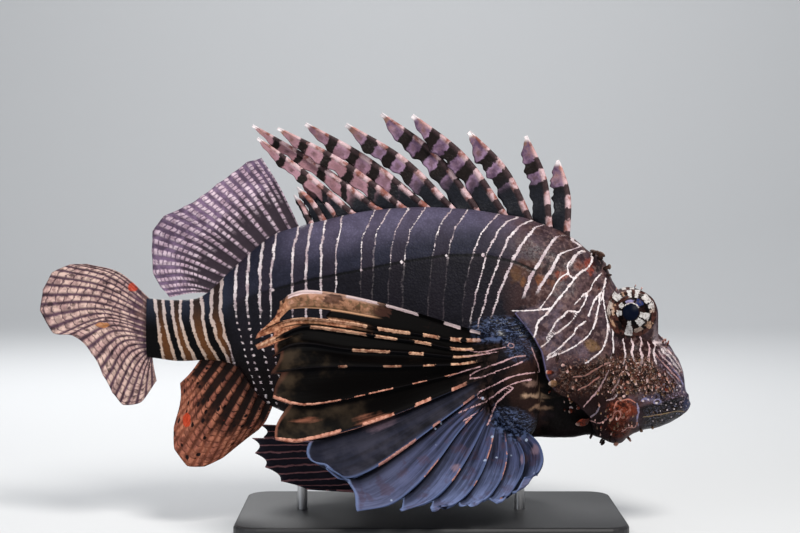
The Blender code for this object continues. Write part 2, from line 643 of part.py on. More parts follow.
def build_spiny_dorsal():
    """Thirteen spines, each with a banner behind it, over a low web."""
    columns = []
    rows = 8
    for i, (base, bend, tip, banner) in enumerate(SPINES):
        root = (base[0], read(TOP, base[0]) - ROOT_GAP / UNIT)
        line = through([Vector((px, 0, py)) for px, py in (root, bend, tip)], 33)
        rise = min(WEB_RISE, 0.35 * (line[-1] - line[0]).length)
        first = min(k for k, p in enumerate(line) if (p - line[0]).length >= rise)
        picks = [0] + [round(first + (32 - first) * k / (rows - 2)) for k in range(rows - 1)]
        lean = 0.0035 * (-1) ** i
        made = [[], [], [], []]
        for k, pick in enumerate(picks):
            p = line[pick]
            along = (line[min(pick + 1, 32)] - line[max(pick - 1, 0)]).normalized()
            back = Vector((along.z, 0, -along.x))
            s = k / (rows - 1)
            y = lean * s**1.5
            round_half = 3.0 * (1 - s) + 1.0
            width = banner * min(1.0, 4.5 * (1 - s)) if k else round_half
            floor = read(TOP, p.x) - ROOT_GAP / UNIT
            spots = [p - back * round_half * 0.55, p, p + back * round_half * 0.55,
                     p + back * (round_half * 0.55 + max(width, 0.9))]
            halves = [WEB_HALF, 0.00105 * (1 - s) + 0.00035, WEB_HALF * 1.2, WEB_HALF]
            for column, spot, half in zip(made, spots, halves):
                py = read(TOP, spot.x) - ROOT_GAP / UNIT if k == 0 else min(spot.z, floor)
                column.append((flat(spot.x, py, y), half))
        columns.extend(made)
        if i < len(SPINES) - 1:
            following = SPINES[i + 1][0]
            middle = (base[0] - 6 + following[0] + 2) / 2
            ground = read(TOP, middle) - ROOT_GAP / UNIT
            columns.append([(flat(middle, ground), WEB_HALF), (flat(middle - 7, ground - WEB_RISE * 0.55), WEB_HALF)])
    return fin("dorsal_fin_spiny", columns, Vector((0, 1, 0)))


def mirror(obj, name):
    """Copy of an object on the other side of the middle plane."""
    bm = bmesh.new()
    bm.from_mesh(obj.data)
    bmesh.ops.scale(bm, verts=bm.verts, vec=(1, -1, 1))
    bmesh.ops.reverse_faces(bm, faces=bm.faces)
    return new_object(name, bm)


def breast_ray(points, out, rows):
    root, facing = lobe_point(points[0][0], points[0][1], -1)
    root = root + facing * 0.0007
    line = through([Vector((px, 0, py)) for px, py in points], rows)
    made = []
    for k, p in enumerate(line):
        s = k / (rows - 1)
        y = root.y + (-out * 0.001 - root.y) * math.sin(s * 1.45) / math.sin(1.45)
        made.append(at(p.x, p.z, y))
    shift = root - made[0]
    return thin_out([p + shift * (1 - k / (rows - 1)) ** 2 for k, p in enumerate(made)], 0.0008, 0.0004)


def build_pectoral():
    rays = [breast_ray(points, out, 9) for points, out in BREAST_RAYS]
    columns = fan(rays, 0.93, 0.24)
    return fin("pectoral_fin_right", columns)


def belly_point(px, y):
    """Point on the underside of the trunk, y metres from the middle plane."""
    top = read(TOP, px)
    low = (top + read(BOTTOM, px)) / 2
    high = read(BOTTOM, px)
    for _ in range(40):
        py = (low + high) / 2
        if torso_half(px, py) > abs(y):
            low = py
        else:
            high = py
    return flat(px, (low + high) / 2, y)


def build_pelvic():
    rays = []
    for points, out in BELLY_RAYS:
        px, y = points[0]
        root = belly_point(px, y * 0.001) + Vector((0, 0, -0.0009))
        rest = []
        for k, (qx, qy) in enumerate(points[1:]):
            s = (k + 1) / (len(points) - 1)
            rest.append(at(qx, qy, y * 0.001 - (out + y) * 0.001 * s**0.8))
        rays.append(thin_out(through([root] + rest, 8), 0.0008, 0.00035))
    return fin("pelvic_fin_right", fan(rays, 0.94))


def build_stand():
    bm = bmesh.new()
    bmesh.ops.create_cube(bm, size=1.0)
    bmesh.ops.scale(bm, verts=bm.verts, vec=(BASE_LENGTH, BASE_WIDTH, BASE_HEIGHT))
    bmesh.ops.translate(bm, verts=bm.verts, vec=(0, 0, BASE_HEIGHT / 2))
    upright = [e for e in bm.edges if abs(e.verts[0].co.z - e.verts[1].co.z) > 0.001]
    bmesh.ops.bevel(bm, geom=upright, offset=0.012, offset_type="OFFSET", segments=6,
                    profile=0.5, affect="EDGES", material=-1)
    rim = [e for e in bm.edges if all(v.co.z > BASE_HEIGHT - 1e-6 for v in e.verts)]
    bmesh.ops.bevel(bm, geom=rim, offset=0.0015, offset_type="OFFSET", segments=2,
                    profile=0.5, affect="EDGES", material=-1)
    base = new_object("stand_base", bm, False)
    cuts = []
    for px in (ROD_FRONT, ROD_REAR):
        cuts.append(rod("hole", flat(px, 0), ROD_RADIUS + GAP, BASE_HEIGHT - ROD_DEPTH - GAP, BASE_HEIGHT + 0.01))
    combine(base, cuts, "DIFFERENCE")
    for name, px in (("stand_rod_front", ROD_FRONT), ("stand_rod_rear", ROD_REAR)):
        foot = flat(px, read(BOTTOM, px))
        rod(name, foot, ROD_RADIUS, BASE_HEIGHT - ROD_DEPTH, foot.z + ROD_DEPTH)
    return base


def paint(obj):
    colour, roughness, metallic = LOOKS[obj.name]
    material = bpy.data.materials.new(obj.name)
    material.use_nodes = True
    shader = material.node_tree.nodes["Principled BSDF"]
    shader.inputs["Base Color"].default_value = (*colour, 1.0)
    shader.inputs["Roughness"].default_value = roughness
    shader.inputs["Metallic"].default_value = metallic
    obj.data.materials.clear()
    obj.data.materials.append(material)


def build():
    clear_scene()
    build_head()
    build_torso()
    build_stalk()
    build_spiny_dorsal()
    build_soft_dorsal()
    build_anal()
    build_caudal()
    mirror(build_pectoral(), "pectoral_fin_left")
    mirror(build_pelvic(), "pelvic_fin_left")
    for name, sign in (("eye_right", -1), ("eye_left", 1)):
        centre = flat(EYE_CENTRE[0], EYE_CENTRE[1], sign * EYE_OUT)
        ball(name, centre, (EYE_RADIUS, EYE_RADIUS, EYE_RADIUS), 20, 12)
    build_stand()
    for obj in bpy.data.objects:
        paint(obj)


build()
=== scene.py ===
# %% [markdown]
# # A lionfish on a stand, life size
#
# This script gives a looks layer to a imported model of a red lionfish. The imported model
# has plain closed solids for the head, trunk, fins and stand, and every new piece made
# here stands for one or more of them in the same place. The fish looks along +X and
# its right side faces -Y.

# %% Load the frame
import math

import bmesh
import bpy
import numpy as np
from mathutils import Matrix, Vector


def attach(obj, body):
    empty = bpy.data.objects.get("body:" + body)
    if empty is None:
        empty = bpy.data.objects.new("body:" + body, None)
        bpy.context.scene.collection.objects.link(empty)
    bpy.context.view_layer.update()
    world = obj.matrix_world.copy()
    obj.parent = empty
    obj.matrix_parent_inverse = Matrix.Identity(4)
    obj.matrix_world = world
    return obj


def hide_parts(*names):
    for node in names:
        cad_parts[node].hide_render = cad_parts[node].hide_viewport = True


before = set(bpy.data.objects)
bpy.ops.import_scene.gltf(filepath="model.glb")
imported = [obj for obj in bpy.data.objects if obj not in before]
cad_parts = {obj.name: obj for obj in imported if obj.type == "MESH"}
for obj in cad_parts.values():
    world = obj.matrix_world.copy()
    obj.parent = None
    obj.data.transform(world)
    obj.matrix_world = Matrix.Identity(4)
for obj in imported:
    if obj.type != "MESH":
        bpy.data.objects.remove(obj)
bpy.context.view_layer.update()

# %% [markdown]
# ## The drawing sheet
#
# All outlines were read on a flat sheet of 800 by 533 units, half a millimetre each,
# with the fish seen from its right side. A point that stands out towards the eye looks
# a little larger and lower than one in the middle plane, so two functions carry points
# between the sheet and the model with the same distance and tilt as the camera.

# %% Sheet and model
UNIT = 0.0005
DISTANCE = 0.944
TILT = math.radians(2.5)
MIDDLE = (400.0, 266.5)
ZERO = (430.0, 530.0)
SIN, COS = math.sin(TILT), math.cos(TILT)


def place(px, py, y):
    """Model point y metres off the middle plane that is seen at a sheet point."""
    u = (px - MIDDLE[0]) * UNIT
    v = (MIDDLE[1] - py) * UNIT
    rise = (v * (DISTANCE + y * COS) / DISTANCE - y * SIN) / (COS + v * SIN / DISTANCE)
    depth = DISTANCE + y * COS - rise * SIN
    across = u * depth / DISTANCE + (MIDDLE[0] - ZERO[0]) * UNIT
    return np.stack(np.broadcast_arrays(across, y, rise + (ZERO[1] - MIDDLE[1]) * UNIT), -1)


def seen(points):
    """Sheet numbers of model points, both sides of the fish read as if from the right."""
    x = points[..., 0] - (MIDDLE[0] - ZERO[0]) * UNIT
    y = -np.abs(points[..., 1])
    z = points[..., 2] - (ZERO[1] - MIDDLE[1]) * UNIT
    scale = DISTANCE / (DISTANCE + y * COS - z * SIN) / UNIT
    return MIDDLE[0] + x * scale, MIDDLE[1] - (y * SIN + z * COS) * scale


def flat(px, py, y=0.0):
    """Model point of a sheet point taken straight from the side."""
    return np.stack(np.broadcast_arrays((px - ZERO[0]) * UNIT, y, (ZERO[1] - py) * UNIT), -1)


print("a snout at sheet point 690, 400 is", flat(690, 400).round(4), "m in the model")

# %% [markdown]
# ## Soft steps and smooth lines
#
# Nothing on an animal is straight or ends at once. Soft steps, smooth lines through a few
# points and a random grain are worked out in Python, as they place points and markings.

# %% Soft steps
def ramp(x, low, high):
    """0 below low and 1 above high, with a soft step between."""
    t = np.clip((x - low) / (high - low), 0, 1)
    return t * t * (3 - 2 * t)


def span(x, low, full, end, gone):
    """Rises from low to full and falls from end to gone."""
    return ramp(x, low, full) * (1 - ramp(x, end, gone))


def swell(x, middle, width):
    """1 at the middle and fading to 0 on both sides."""
    return np.exp(-(((x - middle) / width) ** 2))


def hill(x, y, cx, cy, sx, sy):
    """1 in the middle of an oval and fading to 0 around it."""
    return np.exp(-(((x - cx) / sx) ** 2) - ((y - cy) / sy) ** 2)


def grain(points, size, seed=0):
    """Smooth random humps about size metres across, from -1 to 1."""
    q = points / size + 500.0 + seed * 17.31
    cell = np.floor(q).astype(np.int64)
    f = q - cell
    f = f * f * (3 - 2 * f)
    total = 0.0
    for corner in range(8):
        d = np.array([corner & 1, corner >> 1 & 1, corner >> 2 & 1])
        n = ((cell + d) * np.array([73856093, 19349663, 83492791])).sum(-1)
        n = (n ^ (n >> 13)) * 1274126177 & 0x7FFFFFFF
        n = (n ^ (n >> 15)) & 0xFFFF
        total = total + (n / 32767.5 - 1) * np.prod(np.where(d, f, 1 - f), axis=-1)
    return total


print("soft step at 0.2, 0.5 and 0.8:", ramp(np.array([0.2, 0.5, 0.8]), 0, 1).round(3))

# %% Smooth lines
def through(points, where):
    """Points on a smooth line through the given ones: a count of even steps, or places to read."""
    given = np.asarray(points, float)
    ends = np.concatenate([2 * given[:1] - given[1:2], given, 2 * given[-1:] - given[-2:-1]])
    s = np.linspace(0, len(given) - 1, where) if np.isscalar(where) else np.asarray(where)
    i = np.minimum(s.astype(int), len(given) - 2)
    t = (s - i).reshape([-1] + [1] * (given.ndim - 1))
    a, b, c, d = ends[i], ends[i + 1], ends[i + 2], ends[i + 3]
    square, cube = 2 * a - 5 * b + 4 * c - d, 3 * b - a - 3 * c + d
    return 0.5 * (2 * b + (c - a) * t + square * t**2 + cube * t**3)


def slope(table, i):
    low, high = max(i - 1, 0), min(i + 1, len(table) - 1)
    return (table[high][1] - table[low][1]) / (table[high][0] - table[low][0])


def profile(table):
    """A function that reads a table smoothly."""
    xs = np.linspace(table[0][0], table[-1][0], 1600)
    ys = []
    for x in xs:
        i = max(k for k in range(len(table) - 1) if table[k][0] <= x)
        (x0, y0), (x1, y1) = table[i], table[i + 1]
        h = x1 - x0
        t = (x - x0) / h
        room = 0.25 * abs(y1 - y0) + 0.5
        value = y0 * (2 * t**3 - 3 * t**2 + 1) + slope(table, i) * h * (t**3 - 2 * t**2 + t)
        value += y1 * (3 * t**2 - 2 * t**3) + slope(table, i + 1) * h * (t**3 - t**2)
        ys.append(min(max(value, min(y0, y1) - room), max(y0, y1) + room))
    return lambda x: np.interp(x, xs, ys)


print("halfway along a bent line:", through([(0, 0), (1, 1), (2, 0)], [0.5])[0])

# %% [markdown]
# ## The body's shape
#
# The body is one skin from tail to lips. Its back and belly lines and its width are
# read from the sheet. The gill cover is a flap whose rear edge lies over the trunk, so
# the rows of the skin are bent to run along that edge, where the skin folds under.

# %% Outlines of the body
back = profile([(146, 298), (160, 299.5), (175, 300), (198, 298), (212, 289), (225, 276), (240, 262),
                (262, 243), (275, 234), (300, 226), (325, 220), (350, 214), (375, 210), (400, 208),
                (425, 207), (450, 208), (475, 210), (500, 214), (525, 218), (545, 225), (560, 231),
                (575, 240), (585, 248), (593, 254), (600, 257), (606, 266), (612, 281), (622, 294),
                (634, 303), (646, 314), (654, 328), (662, 338), (670, 346), (677, 357), (683, 370),
                (685, 380), (687, 388), (688.4, 394), (690, 400.5)])
belly = profile([(146, 357), (157, 358.5), (175, 361), (190, 361), (205, 360), (220, 361), (232, 364),
                 (240, 370), (250, 385), (262, 400), (275, 408), (300, 418), (350, 432), (400, 439),
                 (450, 442), (500, 440), (540, 437), (560, 438), (575, 437), (590, 435), (600, 438),
                 (612, 443), (621, 443), (628, 437), (640, 431), (655, 428.5), (665, 425), (674, 420.5),
                 (682, 415.5), (686.5, 411.5), (689, 407.5), (690, 405)])
breadth = profile([(146, 4.5), (160, 5.0), (175, 5.6), (200, 7.5), (225, 9.5), (250, 12.5), (280, 16.0),
                   (320, 20.5), (360, 23.5), (400, 25.2), (440, 26.0), (480, 26.0), (520, 25.0),
                   (560, 24.0), (600, 22.5), (630, 20.0), (650, 17.0), (670, 13.5), (682, 10.0), (688, 7.0),
                   (690, 4.5)])
GILL = np.array([(573, 236), (566, 262), (556, 285), (545, 301), (528, 308), (514, 313), (523, 324),
                 (533, 337), (541, 352), (546, 377), (555, 392), (574, 402), (590, 418), (600, 443)], float)
GILL_FLAT = place(GILL[:, 0], GILL[:, 1], -0.026)
GILL_X = GILL_FLAT[:, 0] / UNIT + ZERO[0]
GILL_Y = ZERO[1] - GILL_FLAT[:, 2] / UNIT
EYE = (630.5, 312.0)
EYE_OUT = 0.0130
EYE_SIZE = 0.0092
GAZE = (-0.0027, 0.0015)
stations = np.arange(150, 690)
print("deepest place", round(float((belly(stations) - back(stations)).max()) * UNIT * 1000), "mm")

# %% Half widths
def plain_half(px, py):
    top, low = back(px), belly(px)
    h = np.clip(((top + low) / 2 - py) / ((low - top) / 2), -1, 1)
    full = 0.40 + 0.04 * ramp(px, 560, 640)
    return breadth(px) * 0.001 * (1 - h * h) ** full * (1 - 0.17 * h)


def head_half(px, py):
    """Half width of the head with its gill cover, cheek ridge and jaw plate."""
    half = plain_half(px, py)
    lift = 0.0026 * (1 - ramp(px, 560, 610)) * ramp(py, 262, 300)
    lift += 0.0019 * swell(py, 360 + (px - 575) * 0.11, 9) * span(px, 560, 585, 660, 684)
    lift += 0.0016 * hill(px, py, 627, 412, 15, 13) - 0.0016 * hill(px, py, 625, 342, 24, 9)
    lift += 0.0012 * hill(px, py, 600, 330, 16, 26)
    return half + np.minimum(half / 0.004, 1) * lift


def trunk_half(px, py):
    """Half width of the trunk, hollowed behind the jaw and under the gill cover."""
    hollow = 0.30 * hill(px, py, 572, 412, 26, 26) + 0.16 * hill(px, py, 545, 375, 20, 30)
    return plain_half(px, py) * (1 - hollow - 0.05 * hill(px, py, 520, 325, 14, 14))


print("half width at the belly's middle", (plain_half(440.0, 330.0) * 1000).round(1), "mm")

# %% [markdown]
# ### Rows of the skin
#
# Each row is a loop round the body. From a point inside the row, a straight line is
# sent out in every direction, and the skin lies where that line leaves the body for
# the last time. A bulge such as the brow over the eye or the fleshy root of the breast
# fin is an egg shape, and taking the farther of two crossings with a rounded maximum
# welds it on with a soft crease, as flesh would be.

# %% Where a line leaves the body
def egg(x, zc, sin, cos, centre, size, lean=0.0):
    """How far out along each line an egg shape is left, or far inside where it is missed."""
    side = x - centre[0] - lean * (zc - centre[2])
    up = zc - centre[2]
    a = (sin / size[1]) ** 2 + (cos / size[2]) ** 2 + (lean * cos / size[0]) ** 2
    b = 2 * (cos * up / size[2] ** 2 - sin * centre[1] / size[1] ** 2 - side * lean * cos / size[0] ** 2)
    c = (side / size[0]) ** 2 + (centre[1] / size[1]) ** 2 + (up / size[2]) ** 2 - 1
    inside = b * b - 4 * a * c
    return np.where(inside > 0, (-b + np.sqrt(np.maximum(inside, 0))) / (2 * a), -1.0)


def solve_rows(rows, turns):
    """Sheet numbers and distance from the middle plane, for each row and direction."""
    nominal, weight, cut, fold, head, slim = (column[:, None] for column in rows.T)
    sin, cos = np.sin(turns)[None], np.cos(turns)[None]
    x = nominal + 0 * sin
    for _ in range(9):
        centre = (back(x) + belly(x)) / 2
        low, high = 0 * x, 0 * x + 0.075
        for _ in range(26):
            r = (low + high) / 2
            py = centre - r * cos / UNIT
            half = np.where(head > 0, head_half(x, py), trunk_half(x, py)) + slim * ramp(py, 294, 308)
            inside = (py > back(x)) & (py < belly(x)) & (half > r * sin)
            low, high = np.where(inside, r, low), np.where(inside, high, r)
        opening = ramp(py, 296, 307)
        bend = np.interp(py, GILL_Y, GILL_X) - cut
        target = nominal + weight * bend + fold * np.where(fold < 0, 1, opening)
        x = x + 0.7 * (target - x)
    return x, centre, r, sin, cos


def skin_rows():
    """One row each: place, share of the gill's bend, its zero, fold, on the head, slimmer by."""
    tail = [(147.0, 0), (147.6, 0)] + [(x, 0) for x in np.arange(149.5, 459, 4.0)]
    front = [(x, ramp(x, 462, 552)) for x in np.arange(460, 551.5, 1.25)]
    rows = [(x, w, 552, 0, 0, 0) for x, w in tail + front]
    rows += [(552, 1, 552, 3.2, 0, 0), (560, 1, 560, 2.4, 1, -0.0016), (560, 1, 560, 0.5, 1, -0.0013)]
    rows += [(560, 1, 560, -0.3, 1, -0.0007), (560.3, 1, 560, 0.6, 1, -0.0001)]
    rows += [(x, max(0, 1 - (x - 560) / 54), 560, 0, 1, 0) for x in np.arange(561.5, 690.2, 1.17)]
    return np.array(rows, float)


print(len(skin_rows()), "rows from tail to lips")

# %% Weld the bulges on
TURNS = np.linspace(0, math.pi, 169)
BROW = flat(EYE[0], EYE[1] + 1.6, EYE_OUT - 0.0015)
BROW_SIZE = (0.0126, 0.0076, 0.0128)
LOBE_OUT = 0.025
LOBE_SIZE = (0.0150, 0.0100, 0.0290)
LOBE_LEAN = -0.20
LOBE = place(507.0, 382.0, -LOBE_OUT)


def weld(a, b, soft):
    """The larger of two distances, with the change between them rounded."""
    return np.logaddexp(a / soft, b / soft) * soft


rows = skin_rows()
px, centre, reach, sin, cos = solve_rows(rows, TURNS)
along = (px - ZERO[0]) * UNIT
middle = (ZERO[1] - centre) * UNIT
brow = egg(along, middle, sin, cos, BROW, BROW_SIZE)
lobe = egg(along, middle, sin, cos, (LOBE[0], LOBE_OUT, LOBE[2]), LOBE_SIZE, LOBE_LEAN)
lobe = np.where(rows[:, 4:5] > 0, -1.0, lobe)
reach = weld(weld(reach, brow, 0.0009), lobe, 0.0012)
right = np.stack([along, -reach * sin, middle + reach * cos], -1)
right[:, [0, -1], 1] = 0.0
left = right[:, -2:0:-1] * (1, -1, 1)
skin = np.concatenate([right, left], 1)
print("skin rows", skin.shape)

# %% [markdown]
# ### Ends, lips and small relief
#
# Copies of the last rows shrink to a point at both ends. Lips, the line of the mouth, the
# eyelid rim, the raised lateral line and the warty cheek are then pushed in or out along
# the way the skin faces. They are small next to the body, so moving the points that are
# there is simpler than cutting new ones.

# %% Close the ends
def shrink(ring, share, push):
    heart = ring.mean(0)
    return heart + (ring - heart) * share + (push, 0, 0)


SNOUT_SHARES = (0.93, 0.84, 0.72, 0.58, 0.44, 0.3, 0.15, 0.0)
tail_end = [shrink(skin[0], s, -0.0002) for s in (0.0, 0.5)]
snout_end = [shrink(skin[-1], s, 0.0004 * (1 - s * s)) for s in SNOUT_SHARES]
skin = np.concatenate([np.array(tail_end), skin, np.array(snout_end)], 0)
print("with ends", skin.shape)

# %% Ways and distances
LATERAL = [
    (534, 270), (515, 262), (483, 255), (445, 255.5), (402, 262), (361, 270), (305, 281), (273, 290),
    (240, 300), (212, 312), (180, 324), (152, 330),
]
MOUTH = np.array([(634, 410), (645, 405), (658, 402), (672, 398.5), (686, 395.5), (692, 394)], float)


def facing(net, closed=True):
    """Unit direction that each point of a net faces."""
    down = np.gradient(net, axis=0)
    across = np.roll(net, -1, 1) - np.roll(net, 1, 1) if closed else np.gradient(net, axis=1)
    n = np.cross(down, across)
    return n / np.maximum(np.linalg.norm(n, axis=-1, keepdims=True), 1e-12)


def line_offset(x, y, line):
    """Distance on the sheet to a bent line in millimetres, below zero on its left side."""
    best = np.full(x.shape, 99.0)
    for (x0, y0), (x1, y1) in zip(line, line[1:]):
        dx, dy = x1 - x0, y1 - y0
        t = np.clip(((x - x0) * dx + (y - y0) * dy) / (dx * dx + dy * dy), 0, 1)
        away = np.hypot(x - x0 - t * dx, y - y0 - t * dy)
        side = np.where((x - x0) * dy - (y - y0) * dx > 0, 1, -1)
        best = np.where(away < np.abs(best), away * side, best)
    return best * UNIT * 1000


def from_mouth(x, y):
    """How far below the line of the mouth a sheet point is."""
    return y - np.interp(x, MOUTH[:, 0], MOUTH[:, 1])


def cheek_zone(x, y):
    upper = np.maximum(352 + (x - 575) * 0.05, 354 + (x - 645) * 0.8)
    band = ramp(y, upper - 3, upper + 8) * (1 - ramp(y, 386, 399)) * (1 - ramp(x, 672, 684))
    return band * (0.3 * ramp(x, 548, 562) + 0.7 * ramp(x, 596, 626))


print("the cheek's middle has a share of", cheek_zone(np.array(630.0), np.array(376.0)).round(2))

# %% Push the relief out
def lip_relief(x, y):
    """Line of the mouth, both lips and the crease under them."""
    low = from_mouth(x, y)
    open_part = ramp(x, 640, 650) * (1 - 0.75 * ramp(x, 680, 687))
    height = -0.0017 * swell(low, 0, 1.3) * ramp(x, 634, 645) * (1 - 0.6 * ramp(x, 682, 688))
    height += open_part * (0.0009 * swell(low, -5.0, 2.8) + 0.0008 * swell(low, 6.0, 3.2))
    return height - 0.0008 * span(x, 644, 655, 668, 680) * swell(low, 13, 2.0)


def relief(net):
    """Height to add to each point of the skin, in metres."""
    x, y = seen(net)
    out = np.abs(net[..., 1])
    rim = np.hypot(x - EYE[0], y - EYE[1]) * UNIT
    height = 0.0013 * swell(rim, 0.0098, 0.0011) * ramp(out, 0.010, 0.014) + lip_relief(x, y)
    ragged = 0.5 + 0.5 * grain(net, 0.0014, 3)
    height += 0.0007 * ragged * swell(line_offset(x, y, LATERAL), 0, 0.55) * ramp(x, 205, 280)
    warts = np.abs(grain(net, 0.0022, 1)) * 0.7 + np.abs(grain(net, 0.0012, 2)) * 0.5
    height += cheek_zone(x, y) * (0.0014 * warts - 0.0004)
    height += 0.00025 * grain(net, 0.0035, 5) * ramp(x, 500, 560)
    height += 0.0018 * hill(x, y, 663, 343, 3, 3) * ramp(out, 0.002, 0.005)
    height -= 0.0014 * hill(x, y, 663, 356.5, 2.2, 2.0) + 0.0010 * hill(x, y, 656, 347, 1.6, 1.6)
    height += 0.0006 * hill(x, y, 625, 412, 14, 13) * grain(net, 0.0024, 6)
    fold = hill(x, y, 502, 330, 24, 11) + hill(x, y, 506, 420, 22, 18)
    return height + 0.0005 * fold * np.sin((y * 1.9 + x * 0.25) + 3 * grain(net, 0.006, 8))


added = relief(skin)
skin = skin + facing(skin) * added[..., None]
snout_x, snout_y = seen(skin)
skin[..., 0] -= 0.0006 * ramp(snout_x, 678, 689) * span(snout_y, 366, 386, 394, 399)
print("relief from", (added.min() * 1000).round(2), "to", (added.max() * 1000).round(2), "mm")

# %% [markdown]
# ### Net to mesh
#
# A flat grid comes from one operator, and each of its points is then moved to its
# place on the skin. The two edges that meet under the belly are merged, and so are the
# points that the end rows drew together.

# %% From a net to a piece
def netting(bm, count_a, count_b):
    """A flat net of points, in rows."""
    made = bmesh.ops.create_grid(bm, x_segments=count_a - 1, y_segments=count_b - 1, size=1.0)
    table = np.empty((count_a, count_b), object)
    for v in made["verts"]:
        i = round((v.co.x + 1) / 2 * (count_a - 1))
        j = round((v.co.y + 1) / 2 * (count_b - 1))
        table[i, j] = v
    return table


def show(name, data):
    """Put a mesh, a lamp or a camera into the scene."""
    shown = bpy.data.objects.new(name, data)
    bpy.context.scene.collection.objects.link(shown)
    return shown


def smooth_mesh(name, bm):
    mesh = bpy.data.meshes.new(name)
    bm.to_mesh(mesh)
    bm.free()
    mesh.shade_smooth()
    return mesh


def finish_piece(name, bm, slot, *stands_for):
    """Turn a bmesh into a smooth object that rides on the frame."""
    piece = show(name, smooth_mesh(name, bm))
    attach(piece, "root")
    if stands_for:
        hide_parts(*stands_for)
    print(name, len(piece.data.polygons), "faces")
    return piece


# %% Build the skin
def build_skin():
    bm = bmesh.new()
    net = np.concatenate([skin, skin[:, :1]], 1)
    table = netting(bm, net.shape[0], net.shape[1])
    for vertex, point in zip(table.ravel(), net.reshape(-1, 3)):
        vertex.co = point
    bmesh.ops.remove_doubles(bm, verts=bm.verts, dist=0.000001)
    bmesh.ops.recalc_face_normals(bm, faces=bm.faces)
    return finish_piece("skin", bm, "torso", "head", "torso", "tail_stalk")


skin_piece = build_skin()

# %% [markdown]
# ## Where the markings lie
#
# A lionfish is known by its lines: thin white ones, mostly in pairs, on a dark ground.
# A picture is never used for them. Each line is a short list of sheet points, and the
# mesh stores numbers for every point of the skin: how far along the series of body
# stripes it lies, how wide a step is there, and how far it is from the nearest line of
# the face. Shaders turn those numbers into lines that stay sharp between the points.

# %% Body stripes
STRIPES = [
    [(140, 296), (142, 320), (143, 345), (146, 362)],
    [(154, 296), (158, 320), (161, 345), (165, 362)],
    [(162.5, 296), (165, 320), (169, 340), (176, 362)],
    [(171, 296), (173, 315), (176, 335), (186, 362)],
    [(180, 296), (180, 318), (184, 335), (196, 362)],
    [(192, 294), (192, 318), (195, 335), (208, 362)],
    [(201, 290), (203, 320), (207, 340), (219, 362)],
    [(212, 284), (211, 315), (216, 335), (229, 362)],
    [(222, 277), (220, 310), (223, 330), (234, 362)],
    [(237, 263), (235, 300), (238, 325), (242, 340), (249, 364), (262, 410)],
    [(249, 252), (246.5, 300), (249, 325), (252, 350), (258, 374), (270, 410)],
    [(263, 242), (260, 270), (260, 310), (262, 330), (264, 355), (271, 382), (280, 415)],
    [(276, 233), (271, 270), (270, 320), (272, 345), (278, 372), (290, 420)],
    [(299, 226), (293, 250), (292, 290), (293, 360), (302, 420)],
    [(312, 222), (307, 250), (306, 285), (307, 360), (316, 430)],
    [(325, 220), (321, 250), (321, 290), (323, 360), (332, 430)],
    [(342, 216), (336, 250), (335, 290), (338, 360), (346, 435)],
    [(376, 210), (363.5, 235), (361.5, 252), (361, 290), (364, 440)],
    [(390, 208), (377, 230), (373.5, 250), (372, 290), (376, 440)],
    [(409, 207), (396, 230), (391, 252), (388, 290), (392, 440)],
    [(425, 207), (410, 230), (405, 250), (402, 285), (405, 440)],
    [(453, 208), (440, 226), (433.5, 250), (429, 290), (428, 440)],
    [(468, 209), (456, 226), (450, 245), (444, 290), (440, 440)],
    [(499, 213), (482, 233), (472.5, 255), (464, 290), (456, 440)],
    [(517, 218), (508, 221), (497, 232), (487, 252), (480, 280), (470, 320), (464, 440)],
    [(533, 220), (519, 226), (508, 239), (500, 258), (489, 287), (478, 325), (474, 440)],
    [(546, 224), (535, 227), (521, 245), (509, 268), (500, 290), (490, 320), (486, 440)],
    [(570, 236), (557, 236), (545, 252), (532, 275), (525, 293), (516, 320), (512, 440)],
    [(582, 246), (572, 241), (560, 254), (551, 271), (538, 290), (530, 320), (526, 440)],
]


def stripe_number(x, y):
    """Place in the series of stripes, and the width of one step in millimetres."""
    at_row = np.stack([np.interp(y, [p[1] for p in s], [p[0] for p in s]) for s in
                       [sorted(line, key=lambda p: p[1]) for line in STRIPES]], -1)
    k = np.clip((at_row < x[..., None]).sum(-1), 1, len(STRIPES) - 1)
    low = np.take_along_axis(at_row, (k - 1)[..., None], -1)[..., 0]
    high = np.take_along_axis(at_row, k[..., None], -1)[..., 0]
    step = np.maximum(high - low, 3.0)
    return k - 1 + (x - low) / step, step * UNIT * 1000


print(len(STRIPES), "body stripes")

# %% [markdown]
# ### Lines of the face
#
# On the face, nape and fin root the lines run freely, and each has a width and a tone.
# The distance to the nearest line keeps a sign, below zero on the left, so that it passes
# through zero on the line and a thin line doesn't break up between two points.

